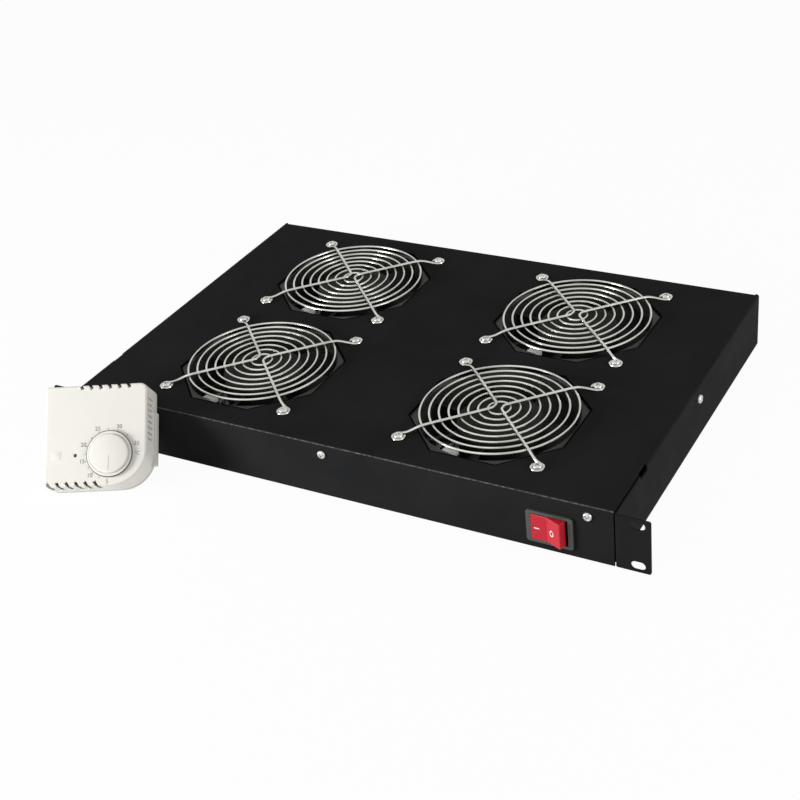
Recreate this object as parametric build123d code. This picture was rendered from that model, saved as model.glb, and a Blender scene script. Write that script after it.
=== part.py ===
from build123d import *
import math
import os

# Rack fan tray, 1U: four 120 mm fans under wire finger guards, a rocker switch on the
# front and a room thermostat leaning on the front edge. Everything is drawn in millimetres
# with X to the right along the front, Y to the back, Z up, and is moved on export so that
# the origin is the middle of the rack slots on the mounting face of the ears.

# Driving dimensions of the sheet metal
SHEET = 1.2
SIDE_ROOM = 58.2
END_ROOM = 19.7
UNDER_ROOM = 4.4
BEND_R = 2.0
PANEL_GAP = 1.5
EAR_REACH = 23.3
EAR_DROP = 1.9
EAR_EDGE_R = 1.5
SLIT_LENGTH = 50.0
NOTCH_LENGTH = 12.0
NOTCH_DEPTH = 5.1
NEST_GAP = 0.4
FRONT_FLANGE_H = 6.0
SIDE_FLANGE_H = 12.0
REAR_LIP = 10.6

# Rack slots
RACK_SLOT_INSET = 8.75
RACK_PITCH_Z = 31.75
RACK_SLOT_L = 10.0
RACK_SLOT_W = 6.5

# Fans
FAN_SIZE = 119.6
FAN_DEPTH = 38.0
FAN_GAP_X = 80.4
FAN_GAP_Y = 19.4
FAN_HOLE_INSET = 7.3
FAN_HOLE_D = 4.5
FAN_BORE_INSET = 2.3
FAN_BARREL_WALL = 1.9
FAN_FLANGE_T = 4.5
FAN_CORNER_R = 6.0
CUTOUT_GAP = 0.2
HUB_D = 62.0
HUB_WALL = 2.0
MOTOR_BASE_T = 3.2
MOTOR_BASE_D = 64.0
MOTOR_CORE_D = 46.0
MOTOR_CORE_H = 17.0
STRUT_W = 6.0
STRUTS = 4
STRUT_TURN = 45.0
SHAFT_D = 5.0
BLADES = 7
BLADE_T = 1.8
BLADE_CHORD_ROOT = 30.0
BLADE_CHORD_TIP = 38.0
BLADE_PITCH_ROOT = 48.0
BLADE_PITCH_TIP = 32.0
TIP_GAP = 1.2
RUN_GAP = 0.05
HUB_GAP = 0.8
HUB_TOP_DROP = 3.4

# Wire finger guards
WIRE_D = 1.7
LEG_D = 2.0
RING_R_MIN = 8.0
RING_BORE_GAP = 0.5
RINGS = 8
GUARD_LIFT = 3.0
EYELET_D = 10.0
EYELET_T = 1.6
ELBOW_INSET = 12.75
LEG_START_R = 12.0
LEG_KNEE = 1.0
WELD_SINK = 0.15
EYELET_BITE = 1.0
MID_BEND_HALF = 3.0

# Fasteners
FAN_SCREW_D = 4.0
FAN_SCREW_HEAD_D = 7.6
FAN_SCREW_HEAD_H = 2.5
FAN_SCREW_SPARE = 1.0
HEAD_CHAMFER = 0.45
FAN_NUT_AF = 7.0
FAN_NUT_T = 3.2
CASE_SCREW_D = 3.0
CASE_SCREW_HEAD_D = 6.6
CASE_SCREW_HEAD_H = 2.2
CASE_SCREW_L = 5.0
CASE_NUT_AF = 5.5
CASE_NUT_T = 2.4
THREAD_GAP = 0.05
HOLE_GAP = 0.25
ACCESS_GAP = 0.9
PAST = 1.0
WELD = 0.1

# Case screws
FRONT_SCREW_INSET = 19.0
FRONT_SCREW_DROP = 8.2
SIDE_SCREW_Y = 159.0
SIDE_SCREW_DROP = 11.6
TAB_W = 16.0

# Fan plugs
PLUG_L = 11.0
PLUG_W = 7.0
PLUG_T = 4.2
PLUG_ANGLE = 256.0
PLUG_GAP = 0.3
LEDGE_T = 1.6

# Rocker switch
SWITCH_INSET = 45.6
SWITCH_Z = 18.5
BEZEL_W = 33.0
BEZEL_H = 25.0
BEZEL_T = 2.0
BEZEL_R = 2.0
ROCKER_W = 24.0
ROCKER_H = 20.0
ROCKER_FACE = 5.0
ROCKER_DIP = 2.2
ROCKER_TILT = 12.0
PIVOT_DEPTH = 3.0
PIVOT_D = 3.0
ROCKER_ROOT = 8.0
ROCKER_FLARE = 0.5
ROCKER_SHOULDER = 2.0
SWITCH_WALL = 1.3
SWITCH_DEPTH = 17.0
SWITCH_FLOOR = 2.0
ROCKER_GAP = 0.35
SWITCH_TAB_W = 6.3
SWITCH_TAB_T = 0.8
SWITCH_TAB_L = 8.0
SWITCH_TAB_PITCH = 10.0

# Power inlet
INLET_INSET = 32.0
INLET_Z = 18.0
INLET_W = 27.0
INLET_H = 20.0
INLET_FLANGE_W = 50.0
INLET_FLANGE_H = 22.5
INLET_FLANGE_T = 3.0
INLET_CORNER_R = 4.0
INLET_DEPTH = 18.0
INLET_SOCKET_W = 24.0
INLET_SOCKET_H = 16.4
INLET_SOCKET_DEPTH = 15.0
INLET_HOLE_PITCH = 40.0
INLET_SCREW_HEAD_D = 5.6
INLET_PIN_W = 2.0
INLET_PIN_H = 4.0
INLET_PIN_L = 13.0
INLET_PIN_PITCH = 7.0
INLET_EARTH_RISE = 4.0
INLET_TAG_L = 7.0
INLET_TAG_H = 6.3
INLET_TAG_T = 0.8

# Terminal block and wiring
BLOCK_L = 44.0
BLOCK_W = 17.0
BLOCK_H = 15.0
BLOCK_WAYS = 4
BLOCK_SCREW_D = 3.6
BLOCK_SCREW_SINK = 1.5
LOOM_D = 5.0
LEAD_D = 3.0
LOOM_BEND = 9.0
LEAD_STEP = 12.0
LEAD_BOX_L = 12.0
LEAD_BOX_H = 8.0
LEAD_BOX_OUT = 10.0
GROMMET_INSET = 32.0
GROMMET_D = 14.0
GROMMET_HOLE_D = 10.0
GROMMET_LIP = 1.6
EARTH_INSET = 32.0
EARTH_REAR_INSET = 62.0
EARTH_D = 4.0
EARTH_H = 12.0
EARTH_NUT_T = 3.2
EARTH_LIFT = 3.0

# Thermostat
STAT_W = 75.0
STAT_H = 73.6
STAT_T = 27.0
STAT_X = -158.0
STAT_YAW = 25.0
STAT_LEAN = 45.0
LEAN_GAP = 0.05
STAT_BASE_T = 4.0
STAT_WALL = 2.0
STAT_CORNER_BIG = 25.0
STAT_CORNER_TOP = 5.0
STAT_CORNER_LEFT = 1.5
STAT_CORNER_LEAST = 0.5
STAT_EDGE_R = 1.4
STAT_WING_OUT = 2.0
STAT_WING_FRONT = 7.0
STAT_WING_LOW = 16.0
STAT_WING_HIGH = 55.0
DIAL_X = 10.8
DIAL_Z = 22.2
DIAL_D = 34.2
DIAL_RIM_T = 1.8
DIAL_FACE_D = 28.6
DIAL_FACE_T = 3.2
DIAL_GAP = 0.3
SPINDLE_D = 6.0
SPINDLE_SEAT = 3.0
STAT_SWITCH_W = 24.0
STAT_SWITCH_H = 14.0
STAT_SWITCH_T = 12.0
LENS_X = -14.8
LENS_D = 2.6
LENS_COLLAR_T = 1.2
VENT_W = 2.4
VENT_PITCH = 7.0
VENT_SLANT = 28.0
VENT_REACH = 3.5
VENTS = 6
TOP_VENT_X = 5.8
LOW_VENT_X = -16.5
LOUVRES = 8
LOUVRE_W = 1.5
LOUVRE_PITCH = 4.2
LOUVRE_LOW = 32.5
LOUVRE_NEAR = 3.5
LOUVRE_LONG = 12.0

# Places worked out from the driving dimensions
FAN_PITCH_X = FAN_SIZE + FAN_GAP_X
FAN_PITCH_Y = FAN_SIZE + FAN_GAP_Y
FAN_HOLE_PITCH = FAN_SIZE - 2 * FAN_HOLE_INSET
FAN_BORE_D = FAN_SIZE - 2 * FAN_BORE_INSET
CUTOUT_ACROSS = FAN_SIZE + 2 * CUTOUT_GAP
BODY_W = FAN_PITCH_X + FAN_SIZE + 2 * SIDE_ROOM
BODY_D = FAN_PITCH_Y + FAN_SIZE + 2 * END_ROOM
BODY_H = UNDER_ROOM + FAN_DEPTH + SHEET
HALF_W = BODY_W / 2
EAR_SPAN = BODY_W + 2 * EAR_REACH
RACK_PITCH_X = EAR_SPAN - 2 * RACK_SLOT_INSET
WALL_IN = HALF_W - SHEET
PANEL_HALF = HALF_W - PANEL_GAP
EAR_TOP = BODY_H - EAR_DROP
EAR_MID = EAR_TOP / 2
PLATE_UNDER = BODY_H - SHEET
FAN_TOP = PLATE_UNDER
FAN_BOTTOM = FAN_TOP - FAN_DEPTH
TRAY_HALF = WALL_IN - NEST_GAP
TRAY_FRONT = SHEET + NEST_GAP
TRAY_REAR = BODY_D - SHEET - NEST_GAP
TRAY_TOP = PLATE_UNDER - NEST_GAP
HOLE_OFF = FAN_HOLE_PITCH / 2
CORNER_R = HOLE_OFF * math.sqrt(2)
ELBOW_R = CORNER_R - ELBOW_INSET
RING_R_MAX = FAN_BORE_D / 2 - RING_BORE_GAP
RING_PITCH = (RING_R_MAX - RING_R_MIN) / (RINGS - 1)
CASE_HOLE_D = CASE_SCREW_D + 2 * HOLE_GAP
CASE_TAP_D = CASE_SCREW_D + 2 * THREAD_GAP
FAN_MIDDLES = {
    "front_left": (-FAN_PITCH_X / 2, BODY_D / 2 - FAN_PITCH_Y / 2),
    "front_right": (FAN_PITCH_X / 2, BODY_D / 2 - FAN_PITCH_Y / 2),
    "rear_left": (-FAN_PITCH_X / 2, BODY_D / 2 + FAN_PITCH_Y / 2),
    "rear_right": (FAN_PITCH_X / 2, BODY_D / 2 + FAN_PITCH_Y / 2),
}
FRONT_SCREW_Z = BODY_H - FRONT_SCREW_DROP
SIDE_SCREW_Z = BODY_H - SIDE_SCREW_DROP
REAR_SCREW_Z = BODY_H - REAR_LIP / 2
FRONT_SCREW_X = HALF_W - FRONT_SCREW_INSET
SWITCH_X = HALF_W - SWITCH_INSET
INLET_X = HALF_W - INLET_INSET
GROMMET_X = GROMMET_INSET - HALF_W
EARTH_X = HALF_W - EARTH_INSET
EARTH_Y = BODY_D - EARTH_REAR_INSET
LOOM_Z = SWITCH_Z - SWITCH_TAB_PITCH / 2
LEAD_Z = FAN_BOTTOM + FAN_FLANGE_T + LEAD_BOX_H / 2
CASE_SCREW_XS = (-FRONT_SCREW_X, 0.0, FRONT_SCREW_X)


def box(x0, x1, y0, y1, z0, z1):
    """Block between two corners."""
    return Pos((x0 + x1) / 2, (y0 + y1) / 2, (z0 + z1) / 2) * Box(x1 - x0, y1 - y0, z1 - z0)


def rod(diameter, start, end):
    """Round bar along one axis between two points."""
    a = Vector(*start)
    b = Vector(*end)
    disc = Plane(origin=a, z_dir=b - a) * Circle(diameter / 2)
    return extrude(disc, amount=(b - a).length)


def joined(first, others):
    """One solid from a piece and everything welded to it."""
    result = first
    for other in others:
        result = result + other
    return result


def ribbon(plane, outline, length):
    """Bent strip of sheet: its outer outline, sheet to the right of travel, drawn along Z."""
    outer = FilletPolyline(*outline, radius=BEND_R)
    strip = offset(outer, amount=SHEET, side=Side.RIGHT, closed=True)
    return extrude(plane * make_face(strip), amount=length, dir=plane.z_dir)


def fan_holes(diameter, low, high, middle):
    """Four round cutters on the hole square of a fan."""
    x, y = middle
    corners = [(x + i * HOLE_OFF, y + j * HOLE_OFF) for i in (-1, 1) for j in (-1, 1)]
    return [rod(diameter, (cx, cy, low), (cx, cy, high)) for cx, cy in corners]


def octagon(low, high, middle):
    """Cutter for the eight-sided air opening, flats square to the tray's edges."""
    across_corners = CUTOUT_ACROSS / math.cos(math.radians(22.5))
    shape = Rot(0, 0, 22.5) * RegularPolygon(across_corners / 2, 8)
    return extrude(Pos(middle[0], middle[1], low) * shape, amount=high - low)


def side_view(x):
    """Plane across the tray at one X: first axis to the back, second axis up."""
    return Plane(origin=(x, 0, 0), x_dir=(0, 1, 0), z_dir=(1, 0, 0))


def front_view(y):
    """Plane along the front at one Y: first axis to the right, second axis up."""
    return Plane(origin=(0, y, 0), x_dir=(1, 0, 0), z_dir=(0, -1, 0))


def housing():
    """Top plate with front panel and rear lip, side walls and rack ears, from one sheet."""
    cross = [(0, 0), (0, BODY_H), (BODY_D, BODY_H), (BODY_D, BODY_H - REAR_LIP)]
    skin = ribbon(side_view(-PANEL_HALF), cross, 2 * PANEL_HALF)
    over = [(PANEL_HALF - SHEET, BODY_H), (HALF_W, BODY_H), (HALF_W, 0)]
    wall = ribbon(front_view(BODY_D), over, BODY_D - SLIT_LENGTH)
    bent = [(EAR_SPAN / 2, 0), (WALL_IN, 0), (WALL_IN, SLIT_LENGTH + NOTCH_LENGTH)]
    ear = ribbon(Plane.XY, bent, EAR_TOP)
    ear = fillet(ear.edges().filter_by(Axis.Y).group_by(Axis.X)[-1], EAR_EDGE_R)
    sides = [wall, ear, mirror(wall, about=Plane.YZ), mirror(ear, about=Plane.YZ)]
    body = joined(skin, sides)
    for side in (-1, 1):
        notch_x = sorted((side * (PANEL_HALF - SHEET / 2), side * (HALF_W + PAST)))
        notch_y = SLIT_LENGTH - NOTCH_LENGTH / 2
        body -= box(*notch_x, notch_y, notch_y + NOTCH_LENGTH, BODY_H - NOTCH_DEPTH, BODY_H + PAST)
        for level in (-1, 1):
            centre = Pos(side * RACK_PITCH_X / 2, SHEET / 2, EAR_MID + level * RACK_PITCH_Z / 2)
            slot = Plane.XZ * SlotOverall(RACK_SLOT_L, RACK_SLOT_W)
            body -= centre * extrude(slot, amount=SHEET, both=True)
        inside = (side * (WALL_IN - PAST), SIDE_SCREW_Y, SIDE_SCREW_Z)
        body -= rod(CASE_HOLE_D, inside, (side * (HALF_W + PAST), SIDE_SCREW_Y, SIDE_SCREW_Z))
    for middle in FAN_MIDDLES.values():
        body -= octagon(PLATE_UNDER - PAST, BODY_H + PAST, middle)
        for cutter in fan_holes(FAN_HOLE_D, PLATE_UNDER - PAST, BODY_H + PAST, middle):
            body -= cutter
    rear = (BODY_D - SHEET - PAST, BODY_D + PAST)
    for x in CASE_SCREW_XS:
        body -= rod(CASE_HOLE_D, (x, -PAST, FRONT_SCREW_Z), (x, SHEET + PAST, FRONT_SCREW_Z))
        body -= rod(CASE_HOLE_D, (x, rear[0], REAR_SCREW_Z), (x, rear[1], REAR_SCREW_Z))
    half_w = switch_body_half_w() + NEST_GAP
    half_h = switch_body_half_h() + NEST_GAP
    window = box(-half_w, half_w, -PAST, SHEET + PAST, -half_h, half_h)
    return body - Pos(SWITCH_X, 0, SWITCH_Z) * window


def bottom_tray():
    """Floor with low flanges, screw tabs and the full-height rear wall, nested in the housing."""
    side_half = TRAY_HALF - BEND_R
    cross = [(TRAY_REAR, TRAY_TOP), (TRAY_REAR, 0), (TRAY_FRONT, 0), (TRAY_FRONT, FRONT_FLANGE_H)]
    body = ribbon(side_view(-side_half), cross, 2 * side_half)
    over = [(TRAY_HALF, SIDE_FLANGE_H), (TRAY_HALF, 0), (-TRAY_HALF, 0), (-TRAY_HALF, SIDE_FLANGE_H)]
    ends = (TRAY_FRONT + BEND_R, TRAY_REAR - BEND_R)
    body += ribbon(front_view(ends[1]), over, ends[1] - ends[0])
    for x in CASE_SCREW_XS:
        body += box(x - TAB_W / 2, x + TAB_W / 2, TRAY_FRONT, TRAY_FRONT + SHEET, BEND_R, TRAY_TOP)
    for side in (-1, 1):
        xs = sorted((side * (TRAY_HALF - SHEET), side * TRAY_HALF))
        ys = (SIDE_SCREW_Y - TAB_W / 2, SIDE_SCREW_Y + TAB_W / 2)
        body += box(*xs, *ys, BEND_R, SIDE_SCREW_Z + TAB_W / 2)
        inside = (side * (TRAY_HALF - SHEET - PAST), SIDE_SCREW_Y, SIDE_SCREW_Z)
        body -= rod(CASE_TAP_D, inside, (side * (TRAY_HALF + PAST), SIDE_SCREW_Y, SIDE_SCREW_Z))
    front = (TRAY_FRONT - PAST, TRAY_FRONT + SHEET + PAST)
    rear = (TRAY_REAR - SHEET - PAST, TRAY_REAR + PAST)
    for x in CASE_SCREW_XS:
        body -= rod(CASE_TAP_D, (x, front[0], FRONT_SCREW_Z), (x, front[1], FRONT_SCREW_Z))
        body -= rod(CASE_TAP_D, (x, rear[0], REAR_SCREW_Z), (x, rear[1], REAR_SCREW_Z))
    for middle in FAN_MIDDLES.values():
        body -= octagon(-PAST, SHEET + PAST, middle)
        for cutter in fan_holes(FAN_SCREW_HEAD_D + 2 * ACCESS_GAP, -PAST, SHEET + PAST, middle):
            body -= cutter
    half_w = INLET_W / 2 + NEST_GAP
    half_h = INLET_H / 2 + NEST_GAP
    body -= Pos(INLET_X, 0, INLET_Z) * box(-half_w, half_w, *rear, -half_h, half_h)
    for side in (-1, 1):
        x = INLET_X + side * INLET_HOLE_PITCH / 2
        body -= rod(CASE_HOLE_D, (x, rear[0], INLET_Z), (x, rear[1], INLET_Z))
    return body - rod(GROMMET_HOLE_D, (GROMMET_X, rear[0], LOOM_Z), (GROMMET_X, rear[1], LOOM_Z))


def pan_screw(head_d, head_h, shank_d, length, seat, direction):
    """Pan-head screw: its head seats at a point, its shank runs in the given direction."""
    seat = Vector(*seat)
    along = Vector(*direction).normalized()
    head = extrude(Plane(origin=seat, z_dir=-along) * Circle(head_d / 2), amount=head_h)
    rim = head.faces().sort_by(Axis(seat, -along))[-1].edges()
    head = chamfer(rim, head_h * HEAD_CHAMFER)
    shank = extrude(Plane(origin=seat, z_dir=along) * Circle(shank_d / 2), amount=length)
    return head + shank


def case_screw(seat, direction):
    """Screw that holds the housing to the bottom tray."""
    return pan_screw(CASE_SCREW_HEAD_D, CASE_SCREW_HEAD_H, CASE_SCREW_D, CASE_SCREW_L, seat, direction)


def fan_frame(middle):
    """Round duct with a square flange at each end, the struts and the motor's base plate."""
    x, y = middle
    here = Pos(x, y, FAN_BOTTOM)
    outer = FAN_BORE_D / 2 + FAN_BARREL_WALL
    flange = extrude(RectangleRounded(FAN_SIZE, FAN_SIZE, FAN_CORNER_R), amount=FAN_FLANGE_T)
    body = Pos(0, 0, FAN_DEPTH / 2) * Cylinder(outer, FAN_DEPTH)
    body += flange + Pos(0, 0, FAN_DEPTH - FAN_FLANGE_T) * flange
    body -= Pos(0, 0, FAN_DEPTH / 2) * Cylinder(FAN_BORE_D / 2, FAN_DEPTH + 2 * PAST)
    for cutter in fan_holes(FAN_HOLE_D, -PAST, FAN_DEPTH + PAST, (0, 0)):
        body -= cutter
    base = Pos(0, 0, MOTOR_BASE_T / 2) * Cylinder(MOTOR_BASE_D / 2, MOTOR_BASE_T)
    reach = FAN_BORE_D / 2 + FAN_BARREL_WALL / 2
    for step in range(STRUTS):
        strut = box(MOTOR_BASE_D / 4, reach, -STRUT_W / 2, STRUT_W / 2, 0, MOTOR_BASE_T)
        base += Rot(0, 0, STRUT_TURN + step * 360 / STRUTS) * strut
    low, near, far = plug_seat()
    far = FAN_BORE_D / 2 + FAN_BARREL_WALL / 2
    ledge = Rot(0, 0, PLUG_ANGLE) * box(near, far, -PLUG_L / 2, PLUG_L / 2, low - LEDGE_T, low)
    outer = FAN_BORE_D / 2 + LEAD_BOX_OUT
    levels = (FAN_FLANGE_T - WELD, FAN_FLANGE_T + LEAD_BOX_H)
    junction = box(far, outer, -LEAD_BOX_L / 2, LEAD_BOX_L / 2, *levels)
    inward = math.degrees(math.atan2(math.copysign(1, BODY_D / 2 - y), -math.copysign(1, x)))
    return here * (body + base + ledge + Rot(0, 0, inward) * junction)


def plug_seat():
    """Level of the plug's underside above the fan, and its reach from the fan's axis."""
    far = FAN_BORE_D / 2 - PLUG_GAP
    return FAN_DEPTH + SHEET / 2 - PLUG_T, far - PLUG_W, far


def fan_plug(middle):
    """Two-way plug pushed on the fan's terminals, on its ledge at the edge of the bore."""
    low, near, far = plug_seat()
    plug = box(near, far, -PLUG_L / 2, PLUG_L / 2, low, low + PLUG_T)
    return Pos(middle[0], middle[1], FAN_BOTTOM) * Rot(0, 0, PLUG_ANGLE) * plug


def fan_motor(middle):
    """Motor core on the base plate, with the bearing bore for the shaft."""
    core = Pos(0, 0, MOTOR_CORE_H / 2) * Cylinder(MOTOR_CORE_D / 2, MOTOR_CORE_H)
    core -= rod(SHAFT_D + 2 * RUN_GAP, (0, 0, -PAST), (0, 0, MOTOR_CORE_H + PAST))
    return Pos(middle[0], middle[1], FAN_BOTTOM + MOTOR_BASE_T) * core


def blade():
    """Twisted blade from the hub to the duct, trimmed round at its tip."""
    root = HUB_D / 2 - HUB_WALL
    tip = FAN_BORE_D / 2
    sections = []
    ends = [(root, BLADE_CHORD_ROOT, BLADE_PITCH_ROOT), (tip, BLADE_CHORD_TIP, BLADE_PITCH_TIP)]
    for reach, chord, pitch in ends:
        across = Plane(origin=(reach, 0, 0), x_dir=(0, 1, 0), z_dir=(1, 0, 0))
        sections.append(across * Rot(0, 0, pitch) * Rectangle(chord, BLADE_T))
    return loft(sections, ruled=True)


def fan_impeller(middle):
    """Hub cup, blades and shaft in one turning piece."""
    low = MOTOR_BASE_T + HUB_GAP
    high = FAN_DEPTH - HUB_TOP_DROP
    body = rod(HUB_D, (0, 0, low), (0, 0, high))
    body -= rod(HUB_D - 2 * HUB_WALL, (0, 0, low - PAST), (0, 0, high - HUB_WALL))
    swept = rod(FAN_BORE_D - 2 * TIP_GAP, (0, 0, 0), (0, 0, FAN_DEPTH))
    swept -= rod(HUB_D - HUB_WALL, (0, 0, -PAST), (0, 0, FAN_DEPTH + PAST))
    one = Pos(0, 0, (low + high) / 2) * blade() & swept
    for step in range(BLADES):
        body += Rot(0, 0, step * 360 / BLADES) * one
    body += rod(SHAFT_D, (0, 0, low), (0, 0, high - HUB_WALL / 2))
    return Pos(middle[0], middle[1], FAN_BOTTOM) * body


def ring(radius, low):
    """Flat-sided hoop for one ring of the guard's wire."""
    hoop = Circle(radius + WIRE_D / 2) - Circle(radius - WIRE_D / 2)
    return extrude(Pos(0, 0, low) * hoop, amount=WIRE_D)


def rings(low):
    """All the evenly spaced rings of a guard."""
    return [ring(RING_R_MIN + step * RING_PITCH, low) for step in range(RINGS)]


def eyelet(low):
    """Flat loop at the end of a guard's leg, round its screw."""
    loop = Circle(EYELET_D / 2) - Circle(FAN_SCREW_D / 2 + HOLE_GAP)
    return extrude(Pos(CORNER_R, 0, low) * loop, amount=EYELET_T)


def round_four(piece):
    """The same piece towards each of the four corners."""
    return [Rot(0, 0, 45 + 90 * step) * piece for step in range(4)]


def top_guard(middle):
    """Guard on the top plate: raised rings, with bent legs that run over them to the eyelets."""
    low = GUARD_LIFT + WIRE_D - WELD_SINK
    high = low + LEG_D
    end = CORNER_R - EYELET_D / 2 + EYELET_BITE
    under = [(LEG_START_R, low), (ELBOW_R, low), (end, 0)]
    over = [(end, EYELET_T), (ELBOW_R + LEG_KNEE, high), (LEG_START_R, high)]
    leg = extrude(front_view(0) * make_face(Polyline(*under, *over, close=True)), amount=LEG_D / 2, both=True)
    pieces = round_four(leg) + round_four(eyelet(0))
    reach = LEG_START_R / math.sqrt(2)
    for side in (-1, 1):
        turn = [(side * MID_BEND_HALF, -LEG_D), (side * MID_BEND_HALF, LEG_D)]
        line = Polyline((side * reach, -reach), *turn, (side * reach, reach))
        wire = make_face(offset(line, amount=LEG_D / 2, side=Side.BOTH, closed=True))
        pieces.append(extrude(Pos(0, 0, low) * wire, amount=LEG_D))
    hoops = rings(GUARD_LIFT)
    return Pos(middle[0], middle[1], BODY_H) * joined(hoops[0], hoops[1:] + pieces)


def bottom_guard(middle):
    """Flat guard under the fan: straight legs on the flange and rings hung below them."""
    end = CORNER_R - EYELET_D / 2 + EYELET_BITE
    leg = box(0, end, -WIRE_D / 2, WIRE_D / 2, -EYELET_T, 0)
    pieces = round_four(leg) + round_four(eyelet(-EYELET_T))
    hoops = rings(WELD_SINK - EYELET_T - WIRE_D)
    return Pos(middle[0], middle[1], FAN_BOTTOM) * joined(pieces[0], pieces[1:] + hoops)


def corners_of(middle):
    """The four hole places of one fan."""
    return [(middle[0] + i * HOLE_OFF, middle[1] + j * HOLE_OFF) for i in (-1, 1) for j in (-1, 1)]


def top_guard_screws():
    """Screws through eyelet, top plate and upper fan flange."""
    seat = BODY_H + EYELET_T
    length = seat - (FAN_TOP - FAN_FLANGE_T - FAN_NUT_T) + FAN_SCREW_SPARE
    size = (FAN_SCREW_HEAD_D, FAN_SCREW_HEAD_H, FAN_SCREW_D, length)
    places = [p for middle in FAN_MIDDLES.values() for p in corners_of(middle)]
    return [pan_screw(*size, (x, y, seat), (0, 0, -1)) for x, y in places]


def top_guard_nuts():
    """Hexagon nuts under the upper fan flanges."""
    top = FAN_TOP - FAN_FLANGE_T
    shape = RegularPolygon(FAN_NUT_AF / math.sqrt(3), 6) - Circle(FAN_SCREW_D / 2 + THREAD_GAP)
    nut = extrude(shape, amount=-FAN_NUT_T)
    places = [p for middle in FAN_MIDDLES.values() for p in corners_of(middle)]
    return [Pos(x, y, top) * nut for x, y in places]


def bottom_guard_screws():
    """Screws that hold the lower guards, driven up into the lower fan flanges."""
    seat = FAN_BOTTOM - EYELET_T
    size = (FAN_SCREW_HEAD_D, FAN_SCREW_HEAD_H, FAN_SCREW_D, EYELET_T + FAN_FLANGE_T)
    places = [p for middle in FAN_MIDDLES.values() for p in corners_of(middle)]
    return [pan_screw(*size, (x, y, seat), (0, 0, 1)) for x, y in places]


def switch_cavity_half_w():
    """Half width of the opening that the rocker swings in."""
    return ROCKER_W / 2 + 3 * ROCKER_GAP


def switch_body_half_w():
    """Half width of the switch behind the panel."""
    return switch_cavity_half_w() + SWITCH_WALL


def switch_body_half_h():
    """Half height of the switch behind the panel."""
    return ROCKER_H / 2 + ROCKER_GAP + SWITCH_WALL


def switch_body():
    """Bezel and hollow body of the rocker switch, with the pin that the rocker turns on."""
    half_w = switch_body_half_w()
    half_h = switch_body_half_h()
    bezel = extrude(Plane.XZ * RectangleRounded(BEZEL_W, BEZEL_H, BEZEL_R), amount=BEZEL_T)
    body = bezel + box(-half_w, half_w, -WELD, SWITCH_DEPTH, -half_h, half_h)
    in_w = switch_cavity_half_w()
    in_h = ROCKER_H / 2 + ROCKER_GAP
    body -= box(-in_w, in_w, -BEZEL_T - PAST, SWITCH_DEPTH - SWITCH_FLOOR, -in_h, in_h)
    body += rod(PIVOT_D, (0, PIVOT_DEPTH, -in_h - WELD), (0, PIVOT_DEPTH, in_h + WELD))
    return Pos(SWITCH_X, 0, SWITCH_Z) * body


def switch_rocker():
    """Rocker with a dished face, tipped to the side that is pressed in."""
    half = ROCKER_W / 2
    brow = half - ROCKER_FLARE
    shoulder = PIVOT_DEPTH - ROCKER_SHOULDER
    face = [(-brow, -ROCKER_FACE), (0, ROCKER_DIP - ROCKER_FACE), (brow, -ROCKER_FACE)]
    root = [(half, shoulder), (half / 2, ROCKER_ROOT), (-half / 2, ROCKER_ROOT), (-half, shoulder)]
    profile = make_face(Polyline(*face, *root, close=True))
    body = Pos(0, 0, -ROCKER_H / 2) * extrude(profile, amount=ROCKER_H)
    body -= rod(PIVOT_D + 2 * RUN_GAP, (0, PIVOT_DEPTH, -ROCKER_H), (0, PIVOT_DEPTH, ROCKER_H))
    pivot = Pos(0, PIVOT_DEPTH, 0)
    turned = pivot * Rot(0, 0, -ROCKER_TILT) * Pos(0, -PIVOT_DEPTH, 0) * body
    return Pos(SWITCH_X, 0, SWITCH_Z) * turned


def switch_terminals():
    """Four push-on tabs at the back of the switch."""
    ys = (SWITCH_DEPTH, SWITCH_DEPTH + SWITCH_TAB_L)
    tab = box(-SWITCH_TAB_T / 2, SWITCH_TAB_T / 2, *ys, -SWITCH_TAB_W / 2, SWITCH_TAB_W / 2)
    off = SWITCH_TAB_PITCH / 2
    return [Pos(SWITCH_X + i * off, 0, SWITCH_Z + j * off) * tab for i in (-1, 1) for j in (-1, 1)]


def power_inlet():
    """Inlet in the rear wall: flange, body and the socket that the plug enters."""
    plate = RectangleRounded(INLET_FLANGE_W, INLET_FLANGE_H, INLET_CORNER_R)
    flange = extrude(Plane.XZ * plate, amount=-INLET_FLANGE_T)
    body = flange + box(-INLET_W / 2, INLET_W / 2, -INLET_DEPTH, WELD, -INLET_H / 2, INLET_H / 2)
    cut_w = INLET_SOCKET_W / 2
    cut_h = INLET_SOCKET_H / 2
    deep = INLET_FLANGE_T - INLET_SOCKET_DEPTH
    body -= box(-cut_w, cut_w, deep, INLET_FLANGE_T + PAST, -cut_h, cut_h)
    for side in (-1, 1):
        x = side * INLET_HOLE_PITCH / 2
        body -= rod(CASE_HOLE_D, (x, -PAST, 0), (x, INLET_FLANGE_T + PAST, 0))
        tag = box(-INLET_TAG_T / 2, INLET_TAG_T / 2, -INLET_TAG_L, WELD, -INLET_TAG_H / 2, INLET_TAG_H / 2)
        body += Pos(side * INLET_PIN_PITCH, -INLET_DEPTH, LOOM_Z - INLET_Z) * tag
    return Pos(INLET_X, TRAY_REAR, INLET_Z) * body


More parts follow.
